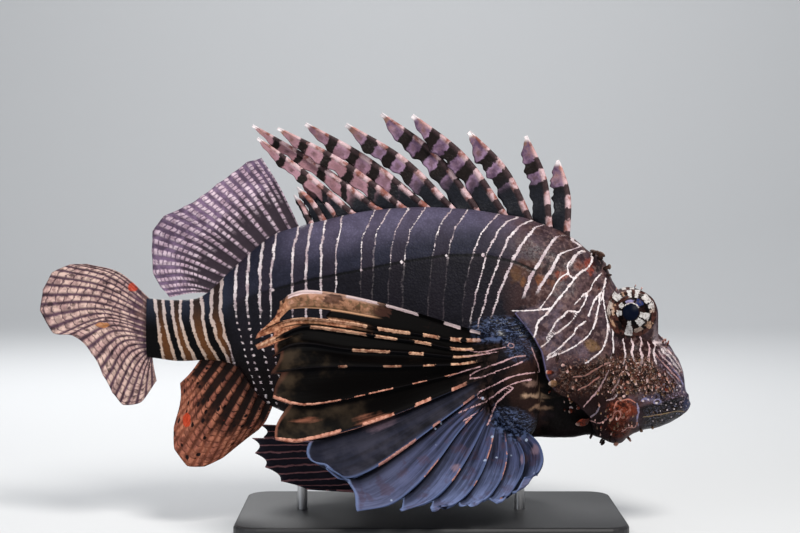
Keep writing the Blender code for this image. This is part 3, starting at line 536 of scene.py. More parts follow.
# %% Lines of the face, nape and fin root
FACE_LINES = [
    (0.75, 0, [(592, 254), (591.5, 262), (587, 268.5), (581.5, 272), (575, 278), (568, 287.5), (559, 298.5),
     (551, 309), (546, 314.6), (538.5, 321.5), (536, 330), (534, 336)]),
    (0.55, 0, [(584.6, 252), (580.8, 251.5), (577, 254), (571.5, 259), (567.7, 265.4), (568.5, 274),
     (574, 278.5)]),
    (0.5, 0, [(566, 274), (560, 278.5), (555, 285), (553, 291), (549, 296), (544.6, 302), (540, 309)]),
    (0.5, 0, [(512, 311), (531, 310.8), (549, 309.2)]),
    (0.5, 0, [(601, 274), (596, 279), (592, 284.6), (590, 290), (583, 294.6), (579, 300), (575, 304)]),
    (0.6, 0, [(605.4, 279), (603.8, 286), (600.8, 293), (595, 299), (592, 306), (588.7, 316)]),
    (0.6, 0, [(587, 294.6), (584.6, 301.5), (581, 307.7), (577.7, 312), (568.5, 310), (563.8, 315.4),
     (557.7, 320), (551.8, 329), (546.6, 338)]),
    (0.55, 0, [(577.7, 312), (575, 316), (569.5, 323), (560.6, 330.6), (551.8, 336.5), (547.4, 342.4),
     (541.5, 346.8)]),
    (0.6, 0, [(585, 321.8), (577, 327.7), (574, 333.6), (566.5, 341), (559, 348), (547.4, 355.7)]),
    (0.6, 0, [(600, 295), (599, 305), (596.8, 315), (593, 329), (584, 339.5), (574, 346.8), (559, 354),
     (547, 358.6)]),
    (0.6, 0, [(605, 283), (603, 298), (605, 308.5), (607.8, 323), (607, 335), (603.4, 347), (594.6, 357),
     (586, 362)]),
    (0.5, 0, [(612.3, 323), (613, 338), (613.7, 350), (610.8, 357)]),
    (0.55, 0.3, [(608.4, 370.6), (602.2, 383), (597.2, 391.8), (587.3, 401.7), (583.6, 406.7)]),
    (0.5, 0.55, [(610, 362), (595, 369), (585, 375.6), (573.6, 377)]),
    (0.6, 0.55, [(598.5, 377), (590, 384), (578.6, 390)]),
    (0.55, 0.4, [(619.6, 378), (616, 385.6), (612, 391)]),
    (0.5, 0.4, [(625.8, 376.9), (623.4, 381.8), (621, 390.5)]),
    (0.5, 0.9, [(599.7, 406.7), (596, 413), (591, 416.7)]),
    (0.5, 0.15, [(617, 394.3), (614.7, 398), (607, 399.9)]),
    (0.45, 0.4, [(590, 420.6), (599, 423.5), (606.4, 419)]),
    (0.6, 0.1, [(623, 339.5), (624.8, 350), (625.5, 355.7), (623.3, 364.5)]),
    (0.7, 0.15, [(631.4, 340), (633.2, 346), (631.8, 352), (634, 360)]),
    (0.8, 0.2, [(639.8, 336), (641.6, 343), (640.2, 349), (642, 356), (641.2, 364)]),
    (0.6, 0.25, [(648, 343), (649.8, 350), (648.6, 357), (650.5, 366)]),
    (0.6, 0.1, [(653.2, 337), (655, 345), (654, 353), (656.5, 364.5)]),
    (0.9, 0.1, [(654.5, 342.5), (664.4, 342)]),
    (0.7, 0.05, [(660, 347), (664, 352), (669, 356.5), (674, 363), (680, 371)]),
    (0.55, 0.2, [(659, 351), (663, 357), (668, 361.5), (674, 369), (679, 375)]),
    (0.6, 0.1, [(663, 347), (669, 351.5), (674, 357.5), (679, 365), (682, 371)]),
    (0.6, 0.9, [(667, 346), (673, 352.5), (678, 359.5), (681, 366), (683, 374)]),
    (0.45, 0.35, [(656, 354), (661, 361), (667, 367), (674, 375), (680, 381)]),
    (0.5, 1.0, [(672, 368), (679, 376), (683, 384)]),
    (0.45, 0.9, [(667, 371), (674, 379), (681, 388)]),
    (0.35, 0.3, [(654, 333), (654, 341)]),
    (0.35, 0.8, [(643, 416.7), (657, 414.8), (669.4, 413), (679.3, 411), (684, 411.7)]),
    (0.5, 1.0, [(654, 400.5), (657, 398.8), (660.5, 400), (660.5, 403), (657, 404.5), (654.5, 403)]),
    (0.6, 1.0, [(642, 401), (645.5, 398.5), (649, 400.5)]),
    (0.55, 0.95, [(637, 404), (638.4, 411), (637.2, 418), (637.8, 425)]),
    (0.5, 0.55, [(614, 408), (617, 402), (624, 400.5), (630, 400), (635, 403)]),
    (0.35, 0.5, [(612, 420), (614, 413), (619, 411), (621, 415), (618, 420)]),
    (0.35, 0.45, [(622, 431), (628, 427), (634, 428), (637, 423)]),
    (0.5, 0.3, [(525, 356), (512, 358), (502, 362), (490, 366), (478, 370), (470, 375), (469, 378)]),
    (0.45, 0.3, [(522, 362), (510, 367), (498, 371), (484, 376), (470, 379)]),
    (0.5, 0.3, [(537, 372), (522, 374), (509, 378), (498, 383), (487, 388), (478, 392), (477, 397),
     (484, 398)]),
    (0.5, 0.3, [(531, 379), (518, 382), (506, 387), (495, 395), (484, 402), (470, 408), (458, 413)]),
    (0.55, 0.3, [(513, 388), (504, 396), (497, 403), (493, 411), (490, 419), (487, 425)]),
    (0.4, 0.3, [(484, 409), (474, 414), (463, 421)]),
    (0.4, 0.3, [(497, 352), (484, 354), (472, 356), (462, 356)]),
    (0.4, 0.3, [(505, 347), (492, 350), (478, 352), (466, 350)]),
    (0.35, 0.3, [(509, 343), (513, 344), (514, 347), (511, 348), (508, 346), (509, 343)]),
    (0.35, 0.3, [(480, 366), (462, 371), (447, 377)]),
    (0.35, 0.3, [(531.5, 347), (536.6, 360), (539.7, 372)]),
]
DOTS = [
    (483, 255, 2.2), (446, 255.5, 1.8), (402, 262, 2.2), (362, 270, 2.2), (273, 290, 2.4), (643, 401, 1.3),
    (648, 399.5, 1.1), (656.5, 403, 1.5), (661, 404, 1.0), (666, 405, 1.0), (671, 403, 1.1),
    (676, 404, 1.0), (681, 402, 1.1), (684, 392, 1.4), (682, 396, 1.2), (677, 390, 1.0), (683, 401, 0.9),
    (686, 406, 0.9), (688, 402, 0.8), (681, 407, 0.9), (674, 409, 0.9), (667, 410, 0.9), (660, 411, 0.8),
    (653, 421, 0.8), (662, 420, 0.8), (671, 417, 0.8), (688, 398, 1.3), (618, 331, 1.4), (571, 408, 2.2),
    (263, 413, 2.2), (276, 410, 2.4), (269, 402, 1.4), (680, 386, 1.3),
]


def face_line(x, y):
    """Signed distance to the nearest line, as a share of its half width, and that line's tone."""
    best, tone = np.full(x.shape, 19.0), np.zeros(x.shape)
    for half, shade, line in FACE_LINES:
        here = line_offset(x, y, through(line, 3 * len(line))) / (half * 0.72)
        nearer = np.abs(here) < np.abs(best)
        best, tone = np.where(nearer, here, best), np.where(nearer, shade, tone)
    return best, tone


def dot_near(x, y):
    best = np.full(x.shape, 9.0)
    for dx, dy, radius in DOTS:
        best = np.minimum(best, np.hypot(x - dx, y - dy) / radius)
    return best


print(len(FACE_LINES), "lines of the face and", len(DOTS), "dots")

# %% [markdown]
# ### Patches round the eye
#
# Pale patches stand round the pupil like the hours of a clock, on the eyeball and on the
# lid. Each is given by its turn, reach and tone, so one list colours both pieces. The eye
# looks a little ahead, so the pattern is shifted, and less so towards its edge.

# %% Patches round the eye
EYE_PATCHES = [
    (184, 13, 4.6, 7.2, 0), (146, 12, 4.7, 7.0, 0), (98, 22, 4.5, 6.1, 0.6), (49, 17, 4.9, 7.6, 1),
    (-15, 12, 4.8, 9.2, 0), (-47, 13, 4.8, 8.3, 0), (-97, 11, 4.5, 11.3, 0), (-67, 13, 8.4, 10.3, 0.2),
    (94, 6, 7.4, 11.6, 0), (72, 6, 7.6, 11.8, 0), (42, 12, 8.4, 11.8, 0), (18, 6, 8.8, 11.8, 0),
    (3, 4, 9.0, 12.0, 0.2), (80, 55, 4.3, 4.8, 0), (168, 17, 10.7, 12.3, 0.1), (131, 11, 8.4, 12.6, 0),
    (209, 14, 10.0, 11.4, 0.3), (-35, 9, 9.4, 12.2, 0.3), (113, 3, 8.6, 12.0, 0.3),
    (172, 20, 8.2, 9.2, 0.3),
]


def eye_polar(points, centre):
    """Distance from the pupil's middle in millimetres, and turn from +X in degrees."""
    across, up = points[:, 0] - centre[0], points[:, 2] - centre[2]
    slide = 1 - 0.45 * ramp(np.hypot(across, up), 0.003, 0.010)
    across, up = across - GAZE[0] * slide, up - GAZE[1] * slide
    return np.hypot(across, up) * 1000, np.degrees(np.arctan2(up, across))


def eye_patch(reach, turn):
    """Depth inside the nearest pale patch round the eye in millimetres, and the patch's tone."""
    depth, tone = np.full(reach.shape, -9.0), np.zeros(reach.shape)
    for middle, half, near, far, shade in EYE_PATCHES:
        off = np.abs((turn - middle + 180) % 360 - 180)
        inside = np.minimum.reduce([np.radians(half - off) * reach, far - reach, reach - near])
        tone = np.where(inside > depth, shade, tone)
        depth = np.maximum(depth, inside)
    return depth, tone


print(len(EYE_PATCHES), "patches round the eye")

# %% [markdown]
# ### Zones and patches of colour
#
# The ground under the lines changes from place to place: blotches on the nape, the rusty
# jaw plate, the slate-blue root of the fin. Soft ovals on the sheet say where, and their
# colours are laid over each other like thin coats of paint, each with its share.

# %% Zones and patches
PATCHES = [
    (563, 260, 34, 24, 0.4, (38, 26, 30)), (527, 388, 22, 26, 0.9, (42, 26, 22)),
    (536, 384, 13, 2.6, 0.9, (142, 112, 100)), (537, 396, 14, 3.0, 0.95, (168, 138, 114)),
    (540, 408, 12, 2.8, 0.9, (140, 110, 90)), (541, 281, 6, 7, 0.7, (118, 72, 44)),
    (579, 264, 6, 5, 0.6, (112, 62, 50)), (562, 275, 8, 5, 0.7, (132, 66, 50)),
    (590, 266, 5, 8, 0.8, (130, 56, 40)), (515, 274, 6, 8, 0.6, (100, 70, 44)),
    (528, 268, 18, 10, 0.55, (78, 50, 36)), (533, 276, 5, 4, 0.8, (16, 11, 12)),
    (523, 282, 4, 5, 0.6, (120, 80, 48)), (549, 269, 5, 6, 0.7, (24, 16, 17)),
    (553, 283, 4, 4, 0.6, (112, 70, 48)), (597, 262, 7, 9, 0.9, (20, 16, 18)),
    (591, 346, 9, 5, 0.6, (128, 98, 66)), (674, 362, 14, 20, 0.9, (72, 52, 60)),
    (662, 353, 5, 7, 0.8, (146, 100, 112)), (672, 362, 8, 9, 0.5, (76, 68, 88)),
    (684, 385, 6, 9, 0.6, (84, 76, 100)), (638, 350, 26, 14, 0.95, (34, 12, 12)),
    (619, 331, 8, 11, 0.95, (10, 5, 5)), (621, 409, 16, 10, 0.9, (110, 48, 30)),
    (620, 427, 17, 12, 0.85, (52, 26, 22)), (689, 403, 4, 7, 0.6, (76, 86, 120)),
    (605, 364, 12, 7, 0.6, (70, 54, 38)), (573, 408, 5, 5, 0.9, (150, 52, 36)),
    (588, 384, 38, 26, 1.0, (15, 5, 5)), (658, 343, 6, 2.5, 0.6, (176, 160, 166)),
    (654, 333, 6, 8, 0.85, (56, 38, 38)), (687, 404, 6, 8, 0.75, (44, 58, 98)),
]


def tint(r, g, b):
    """A colour given as screen values from 0 to 255."""
    return tuple(((v / 255 + 0.055) / 1.055) ** 2.4 if v > 10 else v / 3294 for v in (r, g, b))


def paint(base, layers):
    """Lay colours over an array of colours in turn, each with its share."""
    for share, colour in layers:
        share = np.clip(share, 0, 1)[..., None]
        base = base * (1 - share) + np.array(tint(*colour)) * share
    return base


def zone(x, y, cx, cy, rx, ry):
    """1 inside an oval on the sheet, with a soft edge."""
    return 1 - ramp(np.hypot((x - cx) / rx, (y - cy) / ry), 0.7, 1.15)


def slate_zone(x, y):
    above, below = zone(x, y, 500, 330, 30, 14), zone(x, y, 506, 424, 28, 16)
    return np.maximum.reduce([above, below, zone(x, y, 520, 348, 16, 14) * 0.6])


def jaw_zone(x, y):
    """Lower jaw and the front of the lips."""
    return np.maximum(ramp(from_mouth(x, y), 0, 2) * ramp(x, 640, 650), zone(x, y, 664, 394, 34, 10) * 0.9)


def orange_zone(x, y):
    return np.maximum(zone(x, y, 621, 410, 15, 11), zone(x, y, 620, 428, 13, 10) * 0.7)


print(len(PATCHES), "patches of colour")

# %% [markdown]
# ### Numbers on the skin
#
# The lines and zones are now stored for each point of the skin under names, which a
# shader can read. The points are wobbled first, so that no line is drawn with a ruler.

# %% Store the lines and zones
def mark(piece, **kept):
    """Store a number or a colour per point under each name."""
    for name, values in kept.items():
        if values.ndim > 1:
            values = np.hstack([values, np.ones((len(values), 1))])
            layer, key = piece.data.attributes.new(name, "FLOAT_COLOR", "POINT"), "color"
        else:
            layer, key = piece.data.attributes.new(name, "FLOAT", "POINT"), "value"
        layer.data.foreach_set(key, values.astype(np.float32).ravel())


def points_of(piece, what="co"):
    numbers = np.empty(len(piece.data.vertices) * 3, np.float32)
    piece.data.vertices.foreach_get(what, numbers)
    return numbers.reshape(-1, 3).astype(float)


points = points_of(skin_piece)
x, y = seen(points)
out = np.abs(points[:, 1])
above = np.interp(x, *np.array(LATERAL[::-1]).T) - y
behind = np.interp(y, GILL[:, 1], GILL[:, 0]) - x
mark(skin_piece, forward=x, down=y, behind=behind, lateral=line_offset(x, y, LATERAL), dot=dot_near(x, y),
     cheek=cheek_zone(x, y), slate=slate_zone(x, y), orange=orange_zone(x, y), jaw=jaw_zone(x, y))
print("points of the skin", len(points))

# %% Store the stripes
STRIPE_ENDS = [(466, 440), (470, 322), (478, 327), (495, 312), (510, 300), (530, 294), (540, 291),
               (552, 284), (566, 268), (584, 254)]
wobble = grain(points, 0.0045, 11) * 0.9 + grain(points, 0.0018, 12) * 0.45
phase, step_width = stripe_number(x + wobble, y)
stripe_end = np.interp(x, *np.array(STRIPE_ENDS).T)
keep = (1 - ramp(y - stripe_end, -2, 3)) * (1 - ramp(x, 578, 588)) * (1 - ramp(y, 395, 425))
keep = keep * (1 - 0.93 * span(x, 345, 362, 466, 474) * ramp(-above, -2, 6))
faint = span(x, 345, 360, 468, 482) * ramp(y, 212, 240)
dotty = ramp(y, 296, 322) * span(x, 228, 236, 292, 306)
mark(skin_piece, phase=phase, step=step_width, keep=keep, faint=faint, dotty=dotty)
print("stripes are", step_width.min().round(1), "to", step_width.max().round(1), "mm apart")

# %% Store the lines of the face and the patches round the eye
drawn, line_tone = face_line(x + wobble * 0.5, y + 0.7 * grain(points, 0.004, 13))
off_middle = 1 - ramp(out, 0.0006, 0.0022)
drawn = drawn + np.sign(drawn) * 30 * off_middle * ramp(x, 650, 662)
rim, lift = eye_polar(points, flat(EYE[0], EYE[1], 0))
pale, pale_tone = eye_patch(rim, lift)
mark(skin_piece, side=drawn, line=np.abs(drawn), line_tone=line_tone, pale=pale, pale_tone=pale_tone,
     eye_reach=rim + 30 * ramp(-out, -0.009, -0.006))
print("points on a line", int((np.abs(drawn) < 1).sum()))

# %% Store the ground colour
def patchy(size, seed, fine_size, high):
    return ramp(grain(points, size, seed) + 0.5 * grain(points, fine_size, seed + 1), 0.0, high)


def jitter(seed):
    return 3.0 * grain(points, 0.0035, seed) + 1.5 * grain(points, 0.0014, seed + 1)


past_gill = ramp(-behind, -2, 6)
on_head = ramp(x - (y - 240) * 0.35, 475, 560) * (1 - ramp(y, 300, 330) * (behind > 0))
jx, jy = x + jitter(41), y + jitter(43)
upper_lip = np.abs(line_offset(x, y, MOUTH - (-2, 6)))
lip = (1 - ramp(upper_lip, 0.6, 2.0)) * ramp(x, 642, 652) * ramp(grain(points, 0.003, 51), -0.4, 0.2)
under_lip = ramp(from_mouth(x, y), -1, 1) * ramp(x, 634, 648) * (1 - 0.8 * ramp(x, 680, 687))
# painted shadow: a near-black strip just behind the rear edge of the gill cover, widening low down into the
# shaded hollow behind the jaw
gill_edge_shadow = ramp(behind, -1, 1) * (1 - ramp(behind, 3, 8 + 30 * ramp(y, 360, 395))) * ramp(y, 312, 320)
throat = ramp(y, 378, 402) * ramp(-behind, -2, 4) * (1 - ramp(x, 600, 640))
ground = paint(np.broadcast_to(tint(20, 19, 26), points.shape), [
    (ramp(y, 320, 380), (7, 3, 4)),
    (ramp(above, -3, 5), (33, 34, 47)),
    # painted highlight: the upper back, well above the lateral line, is lightened as if lit from above,
    # fading out towards the tail
    (ramp(above, 10, 46) * ramp(x, 255, 320), (82, 77, 98)),
    (on_head, (76, 58, 62)),
    (past_gill * 0.85, (92, 78, 88)),
    (past_gill * ramp(x, 575, 600) * 0.8, (74, 56, 62)),
    (patchy(0.007, 21, 0.0025, 0.35) * 0.6 * ramp(x, 490, 540), (70, 46, 40)),
    (patchy(0.005, 23, 0.002, 0.3) * 0.55 * ramp(x, 500, 560), (40, 28, 34)),
])
ground = paint(ground, [(zone(jx, jy, *oval) * share, colour) for *oval, share, colour in PATCHES])
ground = paint(ground, [
    (throat * 0.9, (30, 15, 15)),
    (lip * 0.65, (92, 86, 116)),
    (under_lip, (22, 15, 14)),
    (gill_edge_shadow, (3, 3, 4)),
    (ramp(y, 385, 430) * (x < 600) * 0.7, (10, 6, 6)),
])
mark(skin_piece, ground=ground)
print("mean ground colour", ground.mean(0).round(3))

# %% [markdown]
# ## Writing shaders as sums
#
# A shader is a tree of small nodes. Writing one by hand is slow to read, so a value in
# the tree is wrapped in a class that understands +, -, * and /, and each of those adds
# a Math node. Colours go through Mix nodes, which keep all three channels.

# %% Sums on values
class Number:
    """A value in a material's node tree that sums can be written on."""

    def __init__(self, look, socket):
        self.look, self.socket = look, socket

    def math(self, operation, *others):
        return self.look.node("ShaderNodeMath", {"operation": operation}, dict(enumerate((self, *others))))

    def __add__(self, other):
        return self.math("ADD", other)

    def __mul__(self, other):
        return self.math("MULTIPLY", other)

    def __sub__(self, other):
        return self.math("SUBTRACT", other)

    def __rsub__(self, other):
        return self.look.node("ShaderNodeMath", {"operation": "SUBTRACT"}, {0: other, 1: self})

    def __truediv__(self, other):
        return self.math("DIVIDE", other)

    def __abs__(self):
        return self.math("ABSOLUTE")

    __radd__ = __add__
    __rmul__ = __mul__


# %% [markdown]
# ### A material to write on
#
# One method adds any node, with its settings first and then its inputs. The others are
# short names for the nodes that this fish needs: stored numbers, noise, cells, soft steps
# up and down, mixes of colours, and coats of colour laid one over another.

# %% The material class
class Look:
    """A material and the ways to add to its node tree."""

    def __init__(self, name, **fixed):
        self.material = bpy.data.materials.new(name)
        self.material.use_nodes = True
        self.tree = self.material.node_tree
        self.shader = self.tree.nodes["Principled BSDF"]
        self.set(**fixed)

    def node(self, kind, settings=None, inputs=None, output=0):
        """Any node: settings first, then values or links."""
        made = self.tree.nodes.new(kind)
        for key, value in (settings or {}).items():
            if key == "stops":
                while len(made.color_ramp.elements) < len(value):
                    made.color_ramp.elements.new(0.5)
                for stop, (position, colour) in zip(made.color_ramp.elements, value):
                    stop.position, stop.color = position, (*colour, 1)
            else:
                setattr(made, key, value)
        for key, value in (inputs or {}).items():
            self.feed(made.inputs[key], value)
        return Number(self, made.outputs[output])

    def feed(self, socket, value):
        if isinstance(value, Number):
            self.tree.links.new(value.socket, socket)
        elif socket.type == "RGBA" and len(value) == 3:
            socket.default_value = (*value, 1)
        else:
            socket.default_value = value

    def set(self, **inputs):
        """Feed the shader's own sockets."""
        for socket, value in inputs.items():
            self.feed(self.shader.inputs[socket.replace("_", " ")], value)
        return self.material

    def stored(self, name, output="Fac"):
        return self.node("ShaderNodeAttribute", {"attribute_name": name}, {}, output)

    def spots(self):
        return self.node("ShaderNodeTexCoord", {}, {}, "Object")

    def stretched(self, scale):
        return self.node("ShaderNodeMapping", {}, {"Vector": self.spots(), "Scale": scale})

    def noise(self, size, detail=2.0, rough=0.5, vector=None, twist=0.0):
        inputs = {"Vector": vector or self.spots(), "Scale": 1 / size, "Detail": detail, "Roughness": rough}
        return self.node("ShaderNodeTexNoise", {}, {**inputs, "Distortion": twist})

    def cells(self, size):
        inputs = {"Vector": self.spots(), "Scale": 1 / size}
        return self.node("ShaderNodeTexVoronoi", {}, inputs, "Distance")

    def step(self, value, low, high):
        inputs = {"Value": value, "From Min": low, "From Max": high}
        return self.node("ShaderNodeMapRange", {"interpolation_type": "SMOOTHSTEP"}, inputs)

    def fall(self, value, low, high):
        return 1 - self.step(value, low, high)

    def band(self, value, low, full, end, gone):
        return self.step(value, low, full) * self.fall(value, end, gone)

    def mix(self, share, a, b, how="MIX"):
        settings = {"data_type": "RGBA", "blend_type": how}
        return self.node("ShaderNodeMix", settings, {0: share, 6: a, 7: b}, 2)

    def coats(self, base, *layers):
        """Colours laid over a base in turn, each with its share."""
        for share, colour in layers:
            base = self.mix(share, base, colour)
        return base

    def choice(self, value, *stops):
        return self.node("ShaderNodeValToRGB", {"stops": stops}, {0: value})

    def bump(self, height, distance):
        return self.node("ShaderNodeBump", {}, {"Height": height, "Distance": distance, "Strength": 1.0})

    def tools(self):
        """Short names for the methods used most."""
        return self.stored, self.noise, self.step, self.fall, self.band, self.mix, self.coats


def wear(material, *pieces):
    """Give one material to each piece."""
    for piece in pieces:
        piece.data.materials.clear()
        piece.data.materials.append(material)
    print(material.name, "has", len(material.node_tree.nodes), "nodes")


# %% [markdown]
# ## The skin's colours
#
# The ground is blue-black on the trunk and brown on the nape and head. Between the two
# lines of a pair the ground is a shade browner, and on the tail stalk it turns tan.
# Two small functions come first. One draws the free lines of the face, also where they
# run on to the breast fin, and one colours the patches round the eye, on lid and ball.

# %% Lines and patches that two pieces share
WHITE = tint(228, 218, 220)
CREAM = tint(184, 154, 126)


def drawn_line(look, ragged):
    """1 on the nearest line of the face, with ragged edges."""
    near = look.fall(abs(look.stored("side")) + ragged, 0.75, 1.15)
    return near * look.fall(look.stored("line"), 1.7, 2.1)


def line_colour(look, mottle):
    """White, pink, orange, olive or lilac, by the tone of the nearest line."""
    colour = look.choice(look.stored("line_tone"), (0.0, WHITE), (0.3, tint(190, 152, 156)),
                         (0.6, tint(170, 100, 76)), (0.8, tint(122, 104, 76)), (1.0, tint(132, 130, 168)))
    return look.mix(look.step(mottle, 0.50, 0.62) * 0.35, colour, tint(150, 96, 78))


def eye_patches(look, ground, fine, ragged):
    """Chalk white, tan, lilac or blue patches over a ground, by their tones."""
    colour = look.choice(look.stored("pale_tone"), (0.0, tint(198, 194, 192)), (0.3, tint(160, 126, 102)),
                         (0.6, tint(132, 126, 162)), (1.0, tint(30, 42, 84)))
    colour = look.mix(look.fall(fine, 0.40, 0.54) * 0.6, colour, tint(92, 78, 78))
    pale = look.step(look.stored("pale") + (fine - 0.5) * ragged, -0.15, 0.15)
    return look.mix(pale, ground, colour)


# %% Skin: textures and shares
look = Look("lionfish_skin", Specular_IOR_Level=0.07, Coat_Roughness=0.22)
stored, noise, step, fall, band, mix, coats = look.tools()
forward, down, cheek_share = stored("forward"), stored("down"), stored("cheek")
fine, coarse = noise(0.0011, 4, 0.6), noise(0.006, 4, 0.6)
frayed = noise(0.0036, 2, 0.5, look.stretched((0.6, 1, 1.4)))
mottle, tangle = noise(0.0026, 3, 0.65), noise(0.0030, 3, 0.6, twist=1.6)
scales = look.cells(0.0012)
stalk = fall(forward, 222, 236)
on_head = step(forward, 500, 550) * (1 - cheek_share) * fall(down, 346, 366)
print("textures so far", len(look.tree.nodes), "nodes")

# %% [markdown]
# ### White lines
#
# A point is on a body stripe where its place in the series is near a whole number. The
# width changes along the body, noise frays the edges, and low on the flank the line
# breaks into dots.

# %% Skin: white lines
phase = stored("phase")
pair = fall((phase * math.pi).math("SINE"), -0.25, 0.25)
nearest = abs(phase - phase.math("ROUND")) * stored("step")
width = 0.40 + stalk * 0.12 + step(forward, 480, 530) * 0.5 + fall(forward, 290, 350) * 0.28
width = width + (frayed - 0.5) * 0.8 - stored("faint") * 0.12 - stored("dotty") * 0.2
width = width + (down * 2.4 + fine * 9).math("SINE") * 0.12
line = fall(nearest - width + (fine - 0.5) * 1.9, -0.12, 0.12) * stored("keep")
line = line * (1 - stored("faint") * fall(noise(0.0046, 2, 0.5), 0.44, 0.52) * 0.8)
line = line * (1 - stored("dotty") * fall((down * 0.95 + frayed * 5).math("SINE"), 0.1, 0.6))
drawn = drawn_line(look, (fine - 0.5) * 3.4 + (frayed - 0.5) * 2.2)
dots = fall(stored("dot") + (fine - 0.5) * 0.4, 0.8, 1.1)

# %% [markdown]
# ### Ground of the trunk and the nape
#
# The stored ground is darkened in clouds and lightened in the middle of each scale. The
# tail stalk has bars of its own in tan and black, with a painted bluish sheen on the upper part of the black
# bars.

# %% Skin: ground
ground = stored("ground", "Color")
ground = mix(step(coarse, 0.35, 0.7) * 0.4, ground, mix(1.0, ground, (0.4, 0.38, 0.40), "MULTIPLY"))
ground = mix(fall(scales, 0.15, 0.6) * 0.35, ground, mix(1.0, ground, (1.9, 1.9, 1.9), "MULTIPLY"))
between = pair * (1 - stalk) * fall(forward, 480, 510) * (1 - step(stored("lateral"), -2, 4) * 0.7)
tan = mix(step(down, 300, 340), tint(40, 30, 28), tint(88, 54, 30))
# black bars of the tail stalk, with a painted bluish sheen on their upper part
dark_bar_with_sheen = mix(step(down, 296, 330), tint(34, 38, 52), tint(4, 3, 4))
ground = coats(
    ground,
    (between * 0.3, tint(50, 38, 46)),
    (step(mottle, 0.52, 0.62) * on_head * 0.45, tint(124, 100, 96)),
    (fall(mottle, 0.38, 0.48) * on_head * 0.6, tint(34, 20, 24)),
    (stalk, mix(pair, dark_bar_with_sheen, tan)),
)

# %% [markdown]
# ### Cheek, jaw plate and fin root
#
# The cheek is a tangle of short tufts in tan, pink and dark brown: a twisted noise gives
# veins where it crosses its middle value. The root of the breast fin has blue creases.

# %% Skin: cheek, jaw plate and fin root
vein = fall(abs(tangle - 0.5), 0.012, 0.05)
flesh = mix(step(mottle, 0.42, 0.60), tint(13, 5, 4), tint(74, 40, 30))
strand = mix(step(fine, 0.42, 0.60), tint(150, 92, 68), tint(206, 172, 160))
swirl = noise(0.0042, 4, 0.65, twist=2.5)
rusty = coats(
    tint(20, 6, 5),
    (step(swirl, 0.40, 0.54), tint(112, 50, 32)),
    (step(swirl, 0.57, 0.64), tint(150, 106, 94)),
    (step(tangle, 0.54, 0.62) * 0.7, tint(18, 8, 8)),
)
creased = noise(0.0024, 3, 0.6, look.stretched((0.6, 1, 1.8)), 0.8)
crest = fall(abs(creased - 0.5), 0.0, 0.07)
ground = coats(
    ground,
    (cheek_share * 0.95, mix(vein * 0.85, flesh, strand)),
    (stored("orange") * 0.8, rusty),
    (stored("slate") * 0.9, mix(crest, tint(16, 18, 30), tint(100, 114, 152))),
)

# %% [markdown]
# ### Lips, muzzle and lid
#
# Pale flecks and curls cover the lips, and the muzzle is folded and speckled, with painted shade in its
# creases. The lid carries the outer patches of the eye, and the gill cover has a thin lilac rim.

# %% Skin: lips, muzzle and lid
flecks = fall(look.cells(0.0022) + (fine - 0.5) * 0.5, 0.08, 0.24) * stored("jaw")
curl = fall(abs(noise(0.0032, 2, 0.5, twist=2.0) - 0.5), 0.0, 0.035)
muzzle = step(forward, 652, 662) * band(down, 342, 348, 402, 408)
fold = fall(abs(tangle - 0.5), 0.0, 0.05)
ring = fall(stored("eye_reach") + (coarse - 0.5) * 2.0, 12.3, 13.2)
lid = mix(step(mottle, 0.40, 0.60), tint(18, 8, 8), tint(70, 40, 34))
gill_rim = band(stored("behind"), -2.2, -1.2, -0.6, 0.2) * band(down, 308, 314, 380, 392)
ground = coats(
    ground,
    (flecks * 0.85, mix(step(forward, 655, 685), tint(120, 96, 78), tint(136, 146, 180))),
    (curl * stored("jaw") * 0.55, tint(112, 112, 132)),
    # painted shade: the muzzle's creases, where the bump cuts grooves, are darkened
    (muzzle * fold * 0.6, tint(34, 20, 26)),
    (muzzle * step(fine, 0.54, 0.64) * 0.5, tint(166, 148, 172)),
    (ring, eye_patches(look, lid, fine, 1.6)),
    (gill_rim * 0.8, tint(104, 98, 134)),
)

# %% [markdown]
# ### Lines over the ground, and the surface
#
# The lines go on last. They are a little raised, as on the real fish, so they feed the
# bump too. Cheek, lips and fin root get a broken coat, as wet skin shines in small spots.

# %% Skin: lines on top, relief and gloss
drawn = drawn * (1 - cheek_share * 0.5)
white = line.math("MAXIMUM", drawn).math("MAXIMUM", dots) * (1 - ring)
chalk = coats(
    tint(172, 152, 158),
    (step(coarse, 0.35, 0.7), WHITE),
    (stalk * 0.7, mix(step(down, 305, 345), tint(180, 163, 156), CREAM)),
    (drawn * (1 - line) * (1 - dots), line_colour(look, mottle)),
)
lateral = fall(abs(stored("lateral")) + (fine - 0.5) * 1.2, 0.5, 0.9)
colour = coats(
    ground,
    (white * 0.95, chalk),
    (lateral * (1 - dots) * step(forward, 225, 300) * 0.85, tint(10, 10, 12)),
)
height = fine * 0.35 + scales * 0.25 + white * 0.6 + muzzle * (1 - fold) * 1.8
height = height + cheek_share * vein * 1.2 + stored("slate") * crest * 0.9 + flecks * 0.8
wet = cheek_share + stored("jaw") + stored("slate") + on_head * 0.4
look.set(Base_Color=colour, Roughness=0.40 + coarse * 0.2 + cheek_share * 0.1,
         Coat_Weight=wet * step(fine, 0.4, 0.6) * 0.35, Normal=look.bump(height, 0.0006))
wear(look.material, skin_piece)

# %% [markdown]
# ## Flaps of skin
#
# The cheek is rough with small tufts, and leaf-like flaps hang from the cheek, jaw, nape
# and snout. Each is a ball drawn out into a leaf, with its foot in the skin and its tip
# leaning away. Hundreds of tufts are cheap because each has only a few dozen faces. They
# are spread by dice that always fall the same way, and the large leaves are placed.

